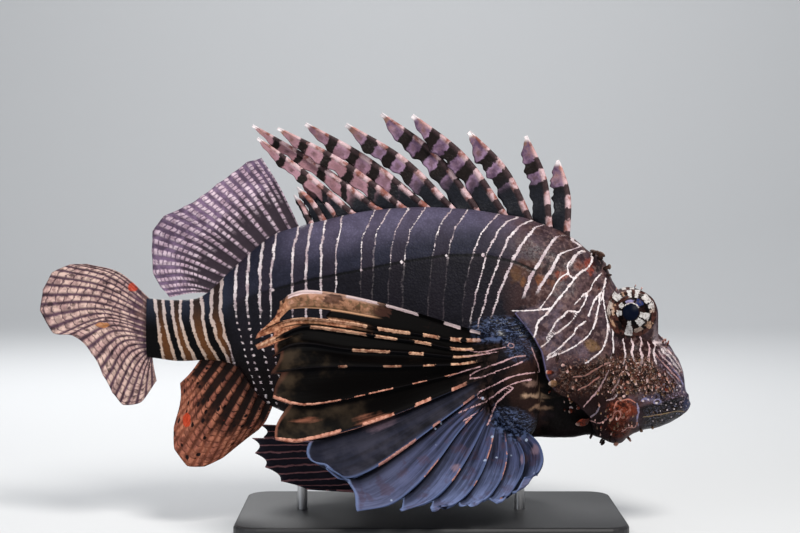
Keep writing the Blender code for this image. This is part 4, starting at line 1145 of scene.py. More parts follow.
# %% One leaf
LEAVES = [
    (553, 372, 175, 5.0, 2.4, 0.95), (560, 385, 170, 7.0, 3.6, 0.4), (573, 409, -160, 3.0, 2.6, 0.9),
    (590, 419, -138, 8.5, 6.0, 0.88), (566, 366, 170, 3.0, 1.6, 0.7), (604, 440, -110, 3.5, 3.0, 0.1),
    (616, 441, -80, 3.0, 2.6, 0.55), (592, 434, -130, 3.0, 2.4, 0.15), (628, 437, -70, 3.0, 2.2, 0.6),
    (598, 260, 55, 4.6, 4.4, 0.17), (593, 256, 80, 3.6, 3.4, 0.16), (603, 269, 10, 4.6, 3.0, 0.17),
    (606, 274, -20, 3.0, 2.0, 0.12), (616, 292, 100, 2.6, 1.2, 0.7), (641, 290, 60, 2.0, 1.0, 0.7),
    (655, 327, 10, 2.0, 1.4, 0.75), (662, 343, 80, 3.2, 1.6, 0.62), (667, 346, 95, 3.4, 1.5, 0.92),
    (600, 286, -120, 2.4, 1.2, 0.9), (640, 428, -80, 2.2, 1.8, 0.2), (652, 426, -70, 1.8, 1.6, 0.3),
]
BOTH_SIDES = np.array([[1, 1, 1], [1, -1, 1]])
UPRIGHT = 0.35


def ball(segments, rings):
    bm = bmesh.new()
    bmesh.ops.create_uvsphere(bm, u_segments=segments, v_segments=rings, radius=0.5)
    for key in ("tone", "out"):
        bm.verts.layers.float.new(key)
    return bm


def unit(vector):
    return vector / np.linalg.norm(vector)


def leaf(whole, seed, root, out, turn, length, width, tone):
    """Draw a copy of the seed ball out into a leaf, and add it."""
    bm = seed.copy()
    tone_layer, out_layer = (bm.verts.layers.float[key] for key in ("tone", "out"))
    lean = unit(np.array([math.cos(turn), 0, math.sin(turn)]) + out * UPRIGHT)
    across = unit(np.cross(out, lean))
    thick = np.cross(lean, across)
    for v in bm.verts:
        a, b, c = v.co.x, v.co.y, v.co.z + 0.42
        ragged = 1 + 0.22 * math.sin(9 * c + 40 * tone) + 0.12 * math.sin(23 * c + a)
        spot = lean * c * length + across * a * width * (0.55 + 0.75 * c) * ragged
        spot = spot + thick * (b * min(width, length, 2.6) * 0.45 + 0.15 * length * c * c)
        v.co = root + spot * 0.001
        v[tone_layer], v[out_layer] = tone, c
    piece = bpy.data.meshes.new("leaf")
    bm.to_mesh(piece)
    bm.free()
    whole.from_mesh(piece)
    bpy.data.meshes.remove(piece)


print(len(LEAVES), "placed leaves on each side")

# %% All the flaps
TUFTS = 330
TUFT_TONES = [0.05, 0.1, 0.2, 0.2, 0.4, 0.55, 0.68, 0.8, 0.88]


def build_flaps():
    normals, points = points_of(skin_piece, "normal"), points_of(skin_piece)
    x, y = seen(points)
    right = points[:, 1] < -0.0005
    small, large = ball(8, 5), ball(14, 9)
    bm = small.copy()
    bmesh.ops.delete(bm, geom=bm.verts[:], context="VERTS")
    dice = np.random.default_rng(11)
    rough = cheek_zone(x, y) * (0.35 + ramp(grain(points, 0.005, 31), -0.3, 0.5))
    chance = rough + 0.22 * zone(x, y, 612, 422, 24, 13) + 0.2 * zone(x, y, 590, 400, 26, 20)
    chosen = dice.choice(len(points), TUFTS, replace=False, p=chance * right / (chance * right).sum())
    wanted = []
    for k in chosen:
        turn = dice.uniform(-2.9, -1.1)
        size = dice.uniform(1.2, 2.2) if dice.random() < 0.7 else dice.uniform(2.4, 3.6)
        wanted.append((small, k, turn, size, size * dice.uniform(0.3, 0.6), dice.choice(TUFT_TONES)))
    for px, py, turn, *size_and_tone in LEAVES:
        k = np.argmin(np.hypot(x - px, y - py) + 1000 * ~right)
        wanted.append((large, k, math.radians(turn), *size_and_tone))
    for seed, k, *shape in wanted:
        for flip in BOTH_SIDES:
            leaf(bm, seed, points[k] * flip, normals[k] * flip, *shape)
    small.free()
    large.free()
    return finish_piece("flaps", bm, "head")


flaps = build_flaps()

# %% [markdown]
# ### Colours of the flaps
#
# A flap's tone picks its colour, from black-brown through tan and pink to rust. Its foot
# is darkened with painted shade where it meets the skin, its tip is pale, and the rusty ones have dark
# ridges.

# %% Flap colours
look = Look("flap_skin", Specular_IOR_Level=0.12)
stored, noise, step, fall, band, mix, coats = look.tools()
tone, out = stored("tone"), stored("out")
fine, ridges = noise(0.0009, 3, 0.6), noise(0.0022, 2, 0.5, twist=1.0)
edge_light = step(out, 0.72, 0.9) * band(tone, 0.13, 0.16, 0.18, 0.22)
colour = coats(
    look.choice(tone, (0.0, tint(14, 8, 8)), (0.15, tint(46, 24, 20)), (0.35, tint(110, 84, 56)),
                (0.5, tint(132, 92, 74)), (0.65, tint(178, 132, 124)), (0.78, tint(206, 176, 172)),
                (0.86, tint(120, 46, 30)), (1.0, tint(150, 66, 42))),
    (step(fine, 0.48, 0.6) * 0.7, tint(20, 9, 8)),
    (fall(abs(ridges - 0.5), 0.01, 0.06) * step(tone, 0.80, 0.86) * 0.8, tint(36, 10, 6)),
    (edge_light * step(fine, 0.4, 0.6) * 0.7, tint(118, 98, 84)),
    # painted shade at the foot of each flap, where it meets the skin
    (fall(out, 0.15, 0.5) * 0.85, tint(16, 7, 6)),
    (step(out + (fine - 0.5) * 0.5, 0.68, 0.9) * step(tone, 0.1, 0.35) * 0.6, tint(224, 200, 190)),
)
look.set(Base_Color=colour, Roughness=0.45, Normal=look.bump(fine, 0.0004))
wear(look.material, flaps)

# %% [markdown]
# ## Fins
#
# A fin is a thin skin held up by rays. Each is made as a net: the rays are lines of
# points, the skin between two rays is drawn across in a few steps, and the whole net is
# then given thickness, more along the rays than between them. Two numbers are stored
# for the shaders: which ray a point is on or between, and how far out it lies.

# %% A net across rays
STEPS = np.array([0.0, 0.03, 0.07, 0.15, 0.27, 0.4, 0.54, 0.67, 0.78, 0.87, 0.94, 0.975])


def scallop(depth):
    """A skin edge that hangs back between two rays."""
    return depth * np.sin(math.pi * STEPS)


def blade(depth):
    """A skin edge that starts far back at one ray and reaches the tip of the next."""
    return depth * (1 - STEPS) ** 1.2


def fan(rays, edges, drop=0.0):
    """Net across a fan of rays, each skin ending short of the tips by its edge's shares."""
    rays = np.array(rays)
    length = rays.shape[1]
    numbers = np.concatenate([i + STEPS for i in range(len(rays) - 1)] + [[len(rays) - 1]])
    whole = through(rays, numbers)
    way = facing(whole, closed=False)
    way = way * np.sign(way[..., 1].mean())
    t = numbers % 1
    cut = 1 - np.append(np.concatenate(edges), 0) * (t > 0)
    rows = cut[:, None] * np.arange(length)
    low = np.minimum(rows.astype(int), length - 2)[..., None]
    part = rows[..., None] - low
    net, way = (np.take_along_axis(a, low, 1) * (1 - part) + np.take_along_axis(a, low + 1, 1) * part
                for a in (whole, way))
    numbers = numbers[:, None] * np.ones((1, length))
    out = np.linspace(0, 1, length)[None] * np.ones_like(numbers)
    behind = (1 - t) ** 1.2 * (t > 0)
    curl = swell(numbers % 1, 0.88, 0.12) * ramp(out, 0.3, 0.8) * 0.3
    step_back = behind[:, None] * ramp(out, 0.04, 0.35) * (1 - 0.8 * ramp(out, 0.86, 0.97)) - curl
    step_back = step_back * (0.5 + 0.5 * ramp(numbers, 4.5, 7.5))
    return net + way * (drop * step_back)[..., None], way, numbers, out


def thickness(net, numbers, ray_root, ray_tip, web, width=0.0009):
    """Half thickness of a fin net, swollen along its rays."""
    out = np.linspace(0, 1, net.shape[1])[None]
    t = numbers % 1
    gap = np.linalg.norm(np.gradient(net, axis=0), axis=-1) / np.maximum(np.gradient(numbers, axis=0), 1e-6)
    away = np.minimum(t, 1 - t) * np.minimum(gap, 0.02)
    ray = ray_root + (ray_tip - ray_root) * out
    return web + (ray - web) * swell(away, 0, width)


# %% [markdown]
# ### From nets to a closed fin
#
# The near face is a grid. Extruding it gives the far face and the rim, and the far points
# are then moved to their places. A hole is cut before, so that its edge is closed too.

# %% Fin builder
def fin_mesh(name, parts, slot, *stands_for, hole=None):
    """Closed fin from nets of (points, half thickness, way it faces, stored numbers)."""
    bm = bmesh.new()
    spot = bm.verts.layers.int.new("spot")
    layers = {key: bm.verts.layers.float.new(key) for key in parts[0][3]}
    ends = []
    for net, half, way, numbers in parts:
        table = netting(bm, net.shape[0], net.shape[1])
        near = (net + way * half[..., None]).reshape(-1, 3)
        far = (net - way * half[..., None]).reshape(-1, 3)
        values = [numbers[key].ravel() for key in layers]
        for k, vertex in enumerate(table.ravel()):
            vertex.co = near[k]
            vertex[spot] = len(ends) + k
            for key, value in zip(layers.values(), values):
                vertex[key] = value[k]
        ends.extend(far)
    if hole:
        cut = [f for f in bm.faces if all(hole(v[layers["ray"]], v[layers["out"]]) for v in f.verts)]
        bmesh.ops.delete(bm, geom=cut, context="FACES")
    made = bmesh.ops.extrude_face_region(bm, geom=bm.faces[:], use_keep_orig=True)
    for item in made["geom"]:
        if isinstance(item, bmesh.types.BMVert):
            item.co = ends[item[spot]]
    bm.verts.layers.int.remove(spot)
    bmesh.ops.recalc_face_normals(bm, faces=bm.faces)
    return finish_piece(name, bm, slot, *stands_for)


# %% [markdown]
# ### Fins of the middle line
#
# The soft back fin, the anal fin and the tail fin stand in the middle plane. Their rays
# are drawn from root to tip, the roots sunk into the body, and lean a little sideways.

# %% Fins of the middle line
DORSAL_RAYS = [
    ((299, 227), (280, 187), (262, 158)), ((290, 230), (268, 190), (247, 162)),
    ((280, 234), (255, 198), (232, 173)), ((269, 239), (242, 208), (217, 184)),
    ((259, 246), (230, 219), (202, 196)), ((250, 253), (219, 229), (186, 206)),
    ((242, 261), (208, 238), (165, 216)), ((234, 268), (196, 248), (153, 231)),
    ((227, 275), (188, 260), (151, 251)), ((220, 282), (185, 272), (152, 273)),
    ((214, 288), (190, 285), (160, 287)), ((213, 290), (192, 293), (170, 297)),
]
ANAL_RAYS = [
    ((272, 407), (266, 421), (258, 431)), ((264, 402), (252, 426), (241, 444)),
    ((256, 394), (239, 430), (222, 459)), ((249, 385), (224, 430), (204, 467)),
    ((243, 376), (211, 424), (187, 466)), ((236, 368), (202, 412), (174, 449)),
    ((226, 362), (199, 396), (173, 428)), ((213, 361), (195, 384), (179, 403)),
    ((200, 361), (190, 373), (179, 384)),
]
TAIL_RAYS = [
    ((147, 300), (120, 273), (86, 264)), ((147, 305), (112, 276), (68, 265)),
    ((147, 311), (104, 284), (50, 273)), ((147, 317), (100, 294), (41, 290)),
    ((147, 322), (96, 306), (39, 311)), ((147, 328), (102, 316), (53, 333)),
    ((147, 333), (109, 323), (75, 336)), ((147, 338), (117, 334), (93, 353)),
    ((147, 343), (124, 345), (104, 374)), ((147, 347), (131, 357), (113, 392)),
    ((147, 351), (139, 366), (123, 405)), ((147, 355), (146, 372), (140, 403)),
    ((148, 358), (153, 368), (155, 382)),
]
SIDE = np.array([0.0, 1.0, 0.0])
SOFT_ROWS = 56


def wavy_ray(points, sink, lean):
    """Ray from sheet points, its root sunk into the body and its tip leaning sideways."""
    line = through([np.add(points[0], sink), *points[1:]], SOFT_ROWS)
    return flat(line[:, 0], line[:, 1], lean * np.linspace(0, 1, SOFT_ROWS) ** 2)


def median_fin(name, slot, rays, sink, lean, phase, speed):
    made = [wavy_ray(ray, sink, lean * math.sin(phase + i * speed)) for i, ray in enumerate(rays)]
    net, _, numbers, out = fan(made, [scallop(0.012)] * (len(rays) - 1))
    half = thickness(net, numbers, 0.0008, 0.0004, 0.00028)
    way = np.broadcast_to(SIDE, net.shape)
    return fin_mesh(name, [(net, half, way, {"ray": numbers, "out": out})], slot, slot)


soft_dorsal = median_fin("soft_dorsal", "dorsal_fin_soft", DORSAL_RAYS, (2, 3), 0.004, 0, 0.9)
anal = median_fin("anal", "anal_fin", ANAL_RAYS, (1.5, -3.5), 0.003, 1, 0.9)
tail = median_fin("tail_fin", "caudal_fin", TAIL_RAYS, (4, 0), 0.006, 0.5, 0.55)

# %% [markdown]
# ### Back spines
#
# The thirteen spines stand one by one, each with a soft banner along its rear edge. Near
# the back the banner widens and runs down to the foot of the next spine. Each spine is
# one narrow net with its banner, thick along the spine and thin elsewhere.

# %% Spiny dorsal fin
SPINES = [
    ((566, 232), (568, 196), (559, 160), 14), ((549, 225), (544, 180), (526, 136), 15),
    ((531, 220), (506, 171), (470, 131), 17), ((507, 216), (465, 158), (413, 115), 17),
    ((480, 212), (437, 156), (382, 113), 16), ((455, 209), (405, 161), (347, 124), 15),
    ((430, 208), (370, 161), (306, 123), 14), ((407, 209), (345, 164), (279, 128), 12),
    ((383, 211), (318, 165), (253, 125), 9), ((356, 214), (309, 176), (259, 138), 9),
    ((339, 218), (322, 197), (302, 178), 8), ((325, 221), (313, 203), (298, 187), 5),
    ((312, 225), (304, 208), (294, 195), 2),
]
ACROSS = np.array([-1.0, -0.75, -0.4, 0.0, 0.4, 0.75, 1.0])
BANNER = np.array([0.12, 0.3, 0.5, 0.7, 0.86, 1.0])
SPINE_ROWS = 81


def rear_edge(line, behind, size, index):
    """Edge of the banner, drawn down to the next spine's foot near the back."""
    s = np.linspace(0, 1, SPINE_ROWS)
    ragged = 1 + 0.10 * np.sin(s * 29 + index * 2) + 0.06 * np.sin(s * 67 + index)
    width = np.maximum(SPINES[index][3] * 0.9 * np.clip(4.2 * (1 - s), 0.12, 1) ** 0.7 * ragged, 0.4)
    rear = line + behind * (size + width)[:, None]
    if index < len(SPINES) - 1:
        foot_x = SPINES[index + 1][0][0] + 2
        foot = np.array([foot_x, float(back(foot_x)) + 3])
        web = 1 - ramp(s, 0.0, 0.52 if index < 8 else 0.56)[:, None]
        rear = rear * (1 - web) + (foot + (line - line[0]) * 0.25) * web
    return rear


def spine_net(index):
    """A spine, its banner, and the low skin that ties it to the next spine's foot."""
    base, bend, tip, _ = SPINES[index]
    line = through([(base[0] + 1, float(back(base[0])) + 4), bend, tip], SPINE_ROWS)
    ahead = np.gradient(line, axis=0)
    ahead /= np.linalg.norm(ahead, axis=1, keepdims=True)
    behind = np.stack([ahead[:, 1], -ahead[:, 0]], -1)
    s = np.linspace(0, 1, SPINE_ROWS)
    size = (4.6 * (1 - s**3) + 0.9) * 0.5
    edge = line + behind * size[:, None]
    rear = rear_edge(line, behind, size, index)
    net = [line + behind * (k * size)[:, None] for k in ACROSS]
    net = np.array(net + [edge + (rear - edge) * k for k in BANNER])
    offsets = np.concatenate([ACROSS, 1 + BANNER])[:, None] + 0 * s
    y = 0.0035 * (-1) ** index * s**1.5 + 0 * offsets
    y = y + 0.0009 * np.sin(s * 16 + index)[None] * np.clip(offsets - 1, 0, 1)
    round_part = np.sqrt(np.maximum(1 - np.minimum(offsets, 1) ** 2, 0.0))
    half = 0.00027 + (0.0009 * (1 - s) + 0.00025) * round_part
    points = flat(net[..., 0], net[..., 1], y)
    length = np.concatenate([[0], np.cumsum(np.linalg.norm(np.diff(line, axis=0), axis=1))]) * UNIT * 1000
    numbers = {"ray": index, "out": s, "across": offsets, "from_tip": length[-1] - length, "length": length}
    numbers = {key: value + 0 * offsets for key, value in numbers.items()}
    return points, half, np.broadcast_to(SIDE, points.shape), numbers


spiny = fin_mesh("spiny_dorsal", [spine_net(i) for i in range(len(SPINES))], "dorsal_fin_spiny",
                 "dorsal_fin_spiny")

# %% [markdown]
# ### Breast and belly fins
#
# The breast fin is the fish's great fan. Its fourteen rays start close together on the
# fleshy root and spread back and down, and the skin between them hangs in pleats. The
# belly fins lie behind and below it. The left fins mirror the right ones.

# %% Rays of the paired fins
BREAST_RAYS = [
    ([(498, 336), (460, 326), (400, 308), (350, 296), (312, 290.5), (294, 292.5), (284.5, 299), (281, 312)],
     56),
    ([(494, 341), (460, 341), (422, 335), (385, 330), (345, 323), (305, 319), (280, 323), (258, 334)], 58),
    ([(491, 347), (460, 350), (422, 343), (385, 338), (345, 332), (305, 328), (280, 338), (257, 348)], 61),
    ([(489, 353), (460, 357), (422, 354), (385, 352), (345, 350), (310, 345), (290, 347), (273, 357)], 64),
    ([(487, 359), (460, 364), (422, 366), (385, 367), (345, 367), (305, 369), (271, 374)], 68),
    ([(486, 366), (430, 379), (385, 390), (335, 401), (300, 405), (273, 398)], 72),
    ([(485, 376), (430, 400), (380, 420), (335, 434), (300, 442), (276, 440)], 75),
    ([(485, 388), (445, 418), (405, 448), (370, 471), (345, 479), (327, 468)], 76),
    ([(487, 400), (460, 430), (437, 462), (415, 487), (390, 505), (357, 511)], 74),
    ([(490, 411), (474, 445), (460, 470), (445, 490), (428, 503), (402, 510)], 71),
    ([(496, 421), (490, 450), (481, 474), (468, 494), (452, 506), (434, 508)], 67),
    ([(504, 429), (507, 455), (503, 475), (495, 490), (486, 500), (472, 504)], 62),
    ([(514, 434), (524, 455), (523, 472), (516, 486), (508, 496), (498, 500)], 56),
    ([(525, 430), (538, 442), (543, 455), (542, 466), (536, 475), (524, 478)], 49),
]
BELLY_RAYS = [
    ([(500, -9), (498, 460), (440, 482), (385, 492), (337, 490)], 34),
    ([(493, -8), (480, 459), (420, 476), (360, 489), (307, 489)], 34),
    ([(486, -7.5), (465, 456), (400, 469), (335, 478), (281, 481)], 33),
    ([(479, -7.5), (450, 453), (385, 460), (320, 464), (265, 467)], 31),
    ([(472, -7.5), (440, 450), (375, 451), (310, 451), (255, 453)], 29),
    ([(465, -7.5), (430, 446), (370, 443), (310, 439), (252, 438)], 26),
]
LOBE_ROWS = 8
HIDDEN = 13
BEND = 1.45


def lobe_root(px, py):
    """Point on the fleshy root of the breast fin."""
    spot = place(px, py, -0.029)
    dz = (spot[2] - LOBE[2]) / LOBE_SIZE[2]
    dx = (spot[0] - LOBE[0] - LOBE_LEAN * (spot[2] - LOBE[2])) / LOBE_SIZE[0]
    rest = math.sqrt(max(1 - dx * dx - dz * dz, 0.02))
    return np.array([spot[0], -(LOBE_OUT + LOBE_SIZE[1] * rest), spot[2]])


def breast_ray(points, out, rows=76):
    """A ray whose first rows lie along the fleshy root, like a rib in it, and then leave it."""
    first, second = np.array(points[0], float), np.array(points[1], float)
    ahead = unit(first - second)
    hidden = [lobe_root(*(first + ahead * HIDDEN * (1 - k / LOBE_ROWS))) for k in range(LOBE_ROWS)]
    hidden = np.array(hidden) + (0, 0.0002, 0)
    hidden[:3, 1] += (0.0020, 0.0011, 0.0005)
    root = lobe_root(*points[0])
    line = through(points, rows - LOBE_ROWS)
    s = np.linspace(0, 1, rows - LOBE_ROWS)
    y = root[1] + (-out * 0.001 - root[1]) * np.sin(s * BEND) / math.sin(BEND)
    made = place(line[:, 0], line[:, 1], y)
    made = made + (root - made[0]) * ((1 - s) ** 2)[:, None]
    return np.concatenate([hidden, made])


def belly_ray(points, out, rows=56):
    px, y = points[0]
    line = [flat(px, 434.0, y * 0.001)]
    for k, (qx, qy) in enumerate(points[1:], 1):
        s = k / (len(points) - 1)
        line.append(place(qx, qy, y * 0.001 - (out + y) * 0.001 * s**0.8))
    return through(line, rows)


print(len(BREAST_RAYS), "rays in a breast fin and", len(BELLY_RAYS), "in a belly fin")

# %% [markdown]
# ### Marks on the breast fin
#
# Pink patches sit on the rays like beads, and some webs have peach blots. Each point
# stores how deep it is in a patch of its ray, how close to that ray, and how deep in a
# blot. The lines of the face run on over the fin's root.

# %% Marks of the breast fin
MARK_WIDTHS = np.array([1.5, 1.9, 1.35, 0.85, 0.8, 1.0, 1.5, 1.1, 0.8, 0.6, 0.6, 0.6, 0.6, 0.6])
MARKS = [
    [(287, 322), (345, 378), (386, 418), (443, 460), (470, 480), (490, 503)],
    [(283, 366), (378, 409), (423, 438), (450, 460), (466, 480)],
    [(257, 276), (310, 366), (375, 396), (414, 430), (450, 472)],
    [(352, 390), (408, 422), (453, 480)],
    [(338, 346), (383, 402), (422, 435), (450, 475)],
    [(273, 340), (354, 365), (368, 392), (412, 426), (444, 456)],
    [(270, 340), (362, 394), (415, 430), (452, 466)],
    [(378, 415), (432, 440), (462, 474)],
    [(425, 438), (464, 470)],
    [(452, 459)],
    [(486, 492), (473, 476)],
    [(502, 506)],
    [(500, 502)],
    [(500, 502)],
]
BLOTS = [
    (377, 422, 26, 12), (456, 468, 7, 6), (524, 460, 5, 8), (535, 450, 6, 7), (306, 420, 24, 4),
    (519, 439, 4, 4),
]


def breast_marks(net, numbers):
    """Numbers for the marks: millimetres inside them, along and across their ray."""
    x, y = seen(net)
    nearest = np.round(numbers).astype(int)
    gaps = np.linalg.norm(np.diff(net[::len(STEPS)], axis=0), axis=-1) * 1000
    gap = gaps[np.clip(np.ceil(numbers[:, 0]).astype(int) - 1, 0, len(gaps) - 1)]
    across = (numbers - nearest) * gap
    depth = np.full(x.shape, -9.0)
    for ray, marks in enumerate(MARKS):
        for low, high in marks:
            inside = np.minimum(x - low, high - x) * UNIT * 1000
            depth = np.where(nearest == ray, np.maximum(depth, inside), depth)
    drawn, tone = np.full(x.shape, 19.0), np.zeros(x.shape)
    near = x > 440
    blots = [1 - np.hypot((x - cx) / rx, (y - cy - 0.1 * (cx - x)) / ry) for cx, cy, rx, ry in BLOTS]
    drawn[near], tone[near] = face_line(x[near], y[near])
    return {
        "mark": depth,
        "smudge": np.maximum(zone(x, y, 333, 300, 12, 6), zone(x, y, 383, 312, 10, 6)),
        "before": (np.ceil(numbers) - numbers) * gap,
        "beside": np.where((across > 0) & (nearest > 0), 0.2, MARK_WIDTHS[nearest]) - np.abs(across),
        "blot": np.max(blots, 0),
        "side": drawn,
        "line": np.abs(drawn),
        "line_tone": tone,
    }


print(sum(len(marks) for marks in MARKS), "marks on the rays")

# %% [markdown]
# ### Edges of the webs
#
# Behind the first rays the skin is cut back, so their tips stand free like fingers. The
# other webs are blades that reach the tip of the next ray.

# %% Paired fins
FINGER_EDGES = [((0, 0.35, 0.58, 0.72), (0.0, 0.055, 0.075, 0.005)),
                ((0.3, 0.4, 0.67, 0.76), (0.0, 0.10, 0.10, 0.0)),
                ((0.12, 0.27, 0.6, 1), (0.0, 0.09, 0.05, 0.02))]
BLADE_DEPTHS = (0.06, 0.05, 0.12, 0.24, 0.20, 0.27, 0.22, 0.25, 0.22, 0.26)
BREAST_EDGES = [np.interp(STEPS, *edge) for edge in FINGER_EDGES] + [blade(depth) for depth in BLADE_DEPTHS]


def paired_fin(name, rays, edges, drop, halves, extra=None, hole=None):
    net, way, numbers, out = fan(rays, edges, drop)
    half = thickness(net, numbers, *halves)
    kept = {"ray": numbers, "out": out}
    if extra:
        kept.update(extra(net, numbers))
    made = []
    for side, flip in zip(("right", "left"), BOTH_SIDES):
        slot = f"{name}_fin_{side}"
        made.append(fin_mesh(f"{name}_{side}", [(net * flip, half, way * flip, kept)], slot, slot, hole=hole))
    return made


def in_hole(ray, out):
    return 0.53 < ray < 0.95 and 0.66 < out < 0.89


breast = paired_fin("pectoral", [breast_ray(*ray) for ray in BREAST_RAYS], BREAST_EDGES, 0.0034,
                    (0.0009, 0.0009, 0.0003, 0.0015), breast_marks, in_hole)
pelvic = paired_fin("pelvic", [belly_ray(*ray) for ray in BELLY_RAYS], [scallop(0.03)] * 5, 0.0006,
                    (0.0007, 0.00035, 0.00028, 0.0009))

# %% [markdown]
# ## Fin colours
#
# The soft fins at the rear are pale mauve or brown with rows of dark dots between pale
# rays. One recipe makes all three: beads along the rays, a skin that darkens towards the
# root, a few spots, and a dark edge.

# %% Soft fin recipe
def ray_line(look, ray, width):
    """How close a point is to a ray: 1 on it and 0 between rays."""
    return look.fall(abs(ray - ray.math("ROUND")), width * 0.4, width)


def shade(colour, share):
    return tuple(v * share for v in colour)


def soft_fin_look(name, pale, outer, inner, half, split_from, beads, gap, reach, dots, spots=()):
    """Pale beads in rows along the rays, on a skin that darkens towards the fin's root."""
    look = Look(name, Specular_IOR_Level=0.1)
    stored, noise, step, fall, band, mix, coats = look.tools()
    ray, out = stored("ray"), stored("out")
    fray, mottle = noise(0.0028, 3, 0.6), noise(0.007, 3, 0.6)
    wander = (fray - 0.5) * 0.16
    split = step(out + mottle * 0.3, split_from, split_from + 0.2)
    split = ray_line(look, ray * 2 + wander * 2, half * 1.7) * split
    bone = ray_line(look, ray + wander, half).math("MAXIMUM", split)
    shift = ((ray * 2).math("ROUND") * 12.9).math("SINE") * 0.8 + (fray - 0.5) * 0.9
    cross = (out * beads + shift).math("FRACT")
    bead = fall(abs(cross - 0.5), 0.5 - gap, 0.5 - gap * 0.5)
    cloud = step(mottle + (fray - 0.5) * 0.5, 0.35, 0.65)
    cream = mix(step(fray, 0.35, 0.6), shade(pale, 0.55), pale)
    cream = mix(1 - cloud, cream, mix(1.0, cream, (0.72, 0.63, 0.70), "MULTIPLY"))
    strength = (bead * 0.75 + 0.2) * (0.55 + step(out, 0.05, 0.3) * 0.45)
    wide = look.node("ShaderNodeCombineXYZ", {}, {0: ray * 2.2, 1: out * beads * 0.8, 2: 0.0})
    netted = {"Vector": wide, "Scale": 1.0, "Randomness": 0.6}
    cell = look.node("ShaderNodeTexVoronoi", {}, netted, "Distance")
    colour = coats(
        mix(cloud, shade(outer, 0.55), shade(outer, 1.3)),
        (fall(out + (mottle - 0.5) * 0.4, reach * 0.5, reach) * 0.95, inner),
        (bone * strength, cream),
        (fall(cell + (fray - 0.5) * 0.3, 0.20, 0.32) * dots * step(out, 0.05, 0.2), tint(20, 10, 12)),
        *[(step(stored(spot) + (fray - 0.5) * 2.2, 0.45, 0.85) * 0.85, tinted) for spot, tinted in spots],
        (step(out, 0.98, 1.0) * 0.4, shade(outer, 0.4)),
    )
    height = bone * bead + mottle * 0.3
    return look.set(Base_Color=colour, Roughness=0.5, Normal=look.bump(height, 0.0004))


# %% Soft fin colours
def spot_on(piece, name, *oval):
    mark(piece, **{name: zone(*seen(points_of(piece)), *oval)})


spot_on(anal, "ember", 187, 420, 4.5, 8)
spot_on(tail, "ember", 133, 287, 6, 5)
spot_on(tail, "amber", 103, 325, 9, 3)
ember, amber = ("ember", tint(186, 62, 34)), ("amber", tint(172, 112, 64))
wear(soft_fin_look("soft_dorsal_skin", tint(216, 194, 206), tint(106, 86, 110), tint(46, 38, 44),
                   0.20, 0.45, 16, 0.16, 0.75, 0.0), soft_dorsal)
wear(soft_fin_look("anal_skin", tint(176, 112, 88), tint(112, 62, 46), tint(12, 7, 7),
                   0.26, 0.60, 14, 0.10, 0.75, 1.0, [ember]), anal)
wear(soft_fin_look("tail_skin", tint(218, 186, 174), tint(80, 58, 70), tint(104, 78, 76),
                   0.25, 0.30, 13, 0.09, 0.14, 0.6, [ember, amber]), tail)

# %% [markdown]
# ### Bands of the spines
#
# The spines and their banners have dark and pale bands, counted from the tip down, that
# slip from spine to spine. A pale band has a brownish core on the banner and is pink on
# the spine itself, and near the back all turns dark.

# %% Spines: bands
look = Look("spine_skin", Specular_IOR_Level=0.1)
stored, noise, step, fall, band, mix, coats = look.tools()
ray, across, from_tip, length = stored("ray"), stored("across"), stored("from_tip"), stored("length")
fine, cloud = noise(0.0014, 3, 0.6), noise(0.005, 3, 0.6)
rear = step(ray, 4.5, 7.5)
on_spine = fall(across, 0.9, 1.15)
slip = ((ray * 2.7).math("SINE") + (noise(0.006, 2) - 0.5)) * 1.2
waver = (noise(0.0022, 3, 0.6) - 0.5) * 4.0
cycle = ((from_tip - 13 + slip + waver + on_spine * 0.8) / (12.0 + rear * 1.5)).math("FRACT")
dark_share = 0.52 - rear * 0.20
dark_band = step(cycle, -0.02, 0.05) * fall(cycle - dark_share, -0.04, 0.04) * step(from_tip + slip, 11, 13)
upper = fall(from_tip, 3, 14)

# %% Spines: colours
middle = abs(cycle - (dark_share + 1) * 0.5)
core = fall(middle, 0.05, 0.17) * fall(abs(across - 1.5), 0.12, 0.34)
lilac = coats(
    mix(step(cloud, 0.3, 0.7), tint(74, 54, 74), tint(140, 114, 140)),
    (rear * 0.6, tint(172, 126, 128)),
    (core * step(cloud, 0.3, 0.7) * 0.8, tint(78, 54, 54)),
    (upper * step(cloud, 0.42, 0.6) * 0.8, tint(120, 84, 56)),
)
low = fall(length + (cloud - 0.5) * 8 - across * 1.5, 17 - rear * 4, 30 - rear * 6)
banner = coats(
    mix(dark_band, lilac, mix(fine, tint(7, 5, 6), tint(34, 26, 24))),
    (low, mix(fine, tint(10, 10, 12), tint(34, 36, 44))),
    (step(across, 1.88, 1.98) * 0.5, tint(30, 24, 26)),
)
patch = mix(step(cloud, 0.35, 0.6), tint(136, 84, 74), tint(206, 176, 180))
patch = mix(upper * step(cloud, 0.45, 0.6) * 0.7, patch, tint(178, 96, 64))
stem = mix(dark_band, patch, mix(fine, tint(30, 20, 22), tint(84, 66, 68)))
colour = coats(
    banner,
    (on_spine, stem),
    (fall(from_tip + across * 0.6, 2.0, 4.2), tint(226, 216, 218)),
)
look.set(Base_Color=colour, Roughness=0.42, Normal=look.bump(fine, 0.0004))
wear(look.material, spiny)

# %% [markdown]
# ### Breast fin: black above, slate blue below
#
# The change between the two follows the rays, whose numbers the mesh stores, so it runs
# out along the fin by itself. A noise that is stretched along the rays gives streaks.

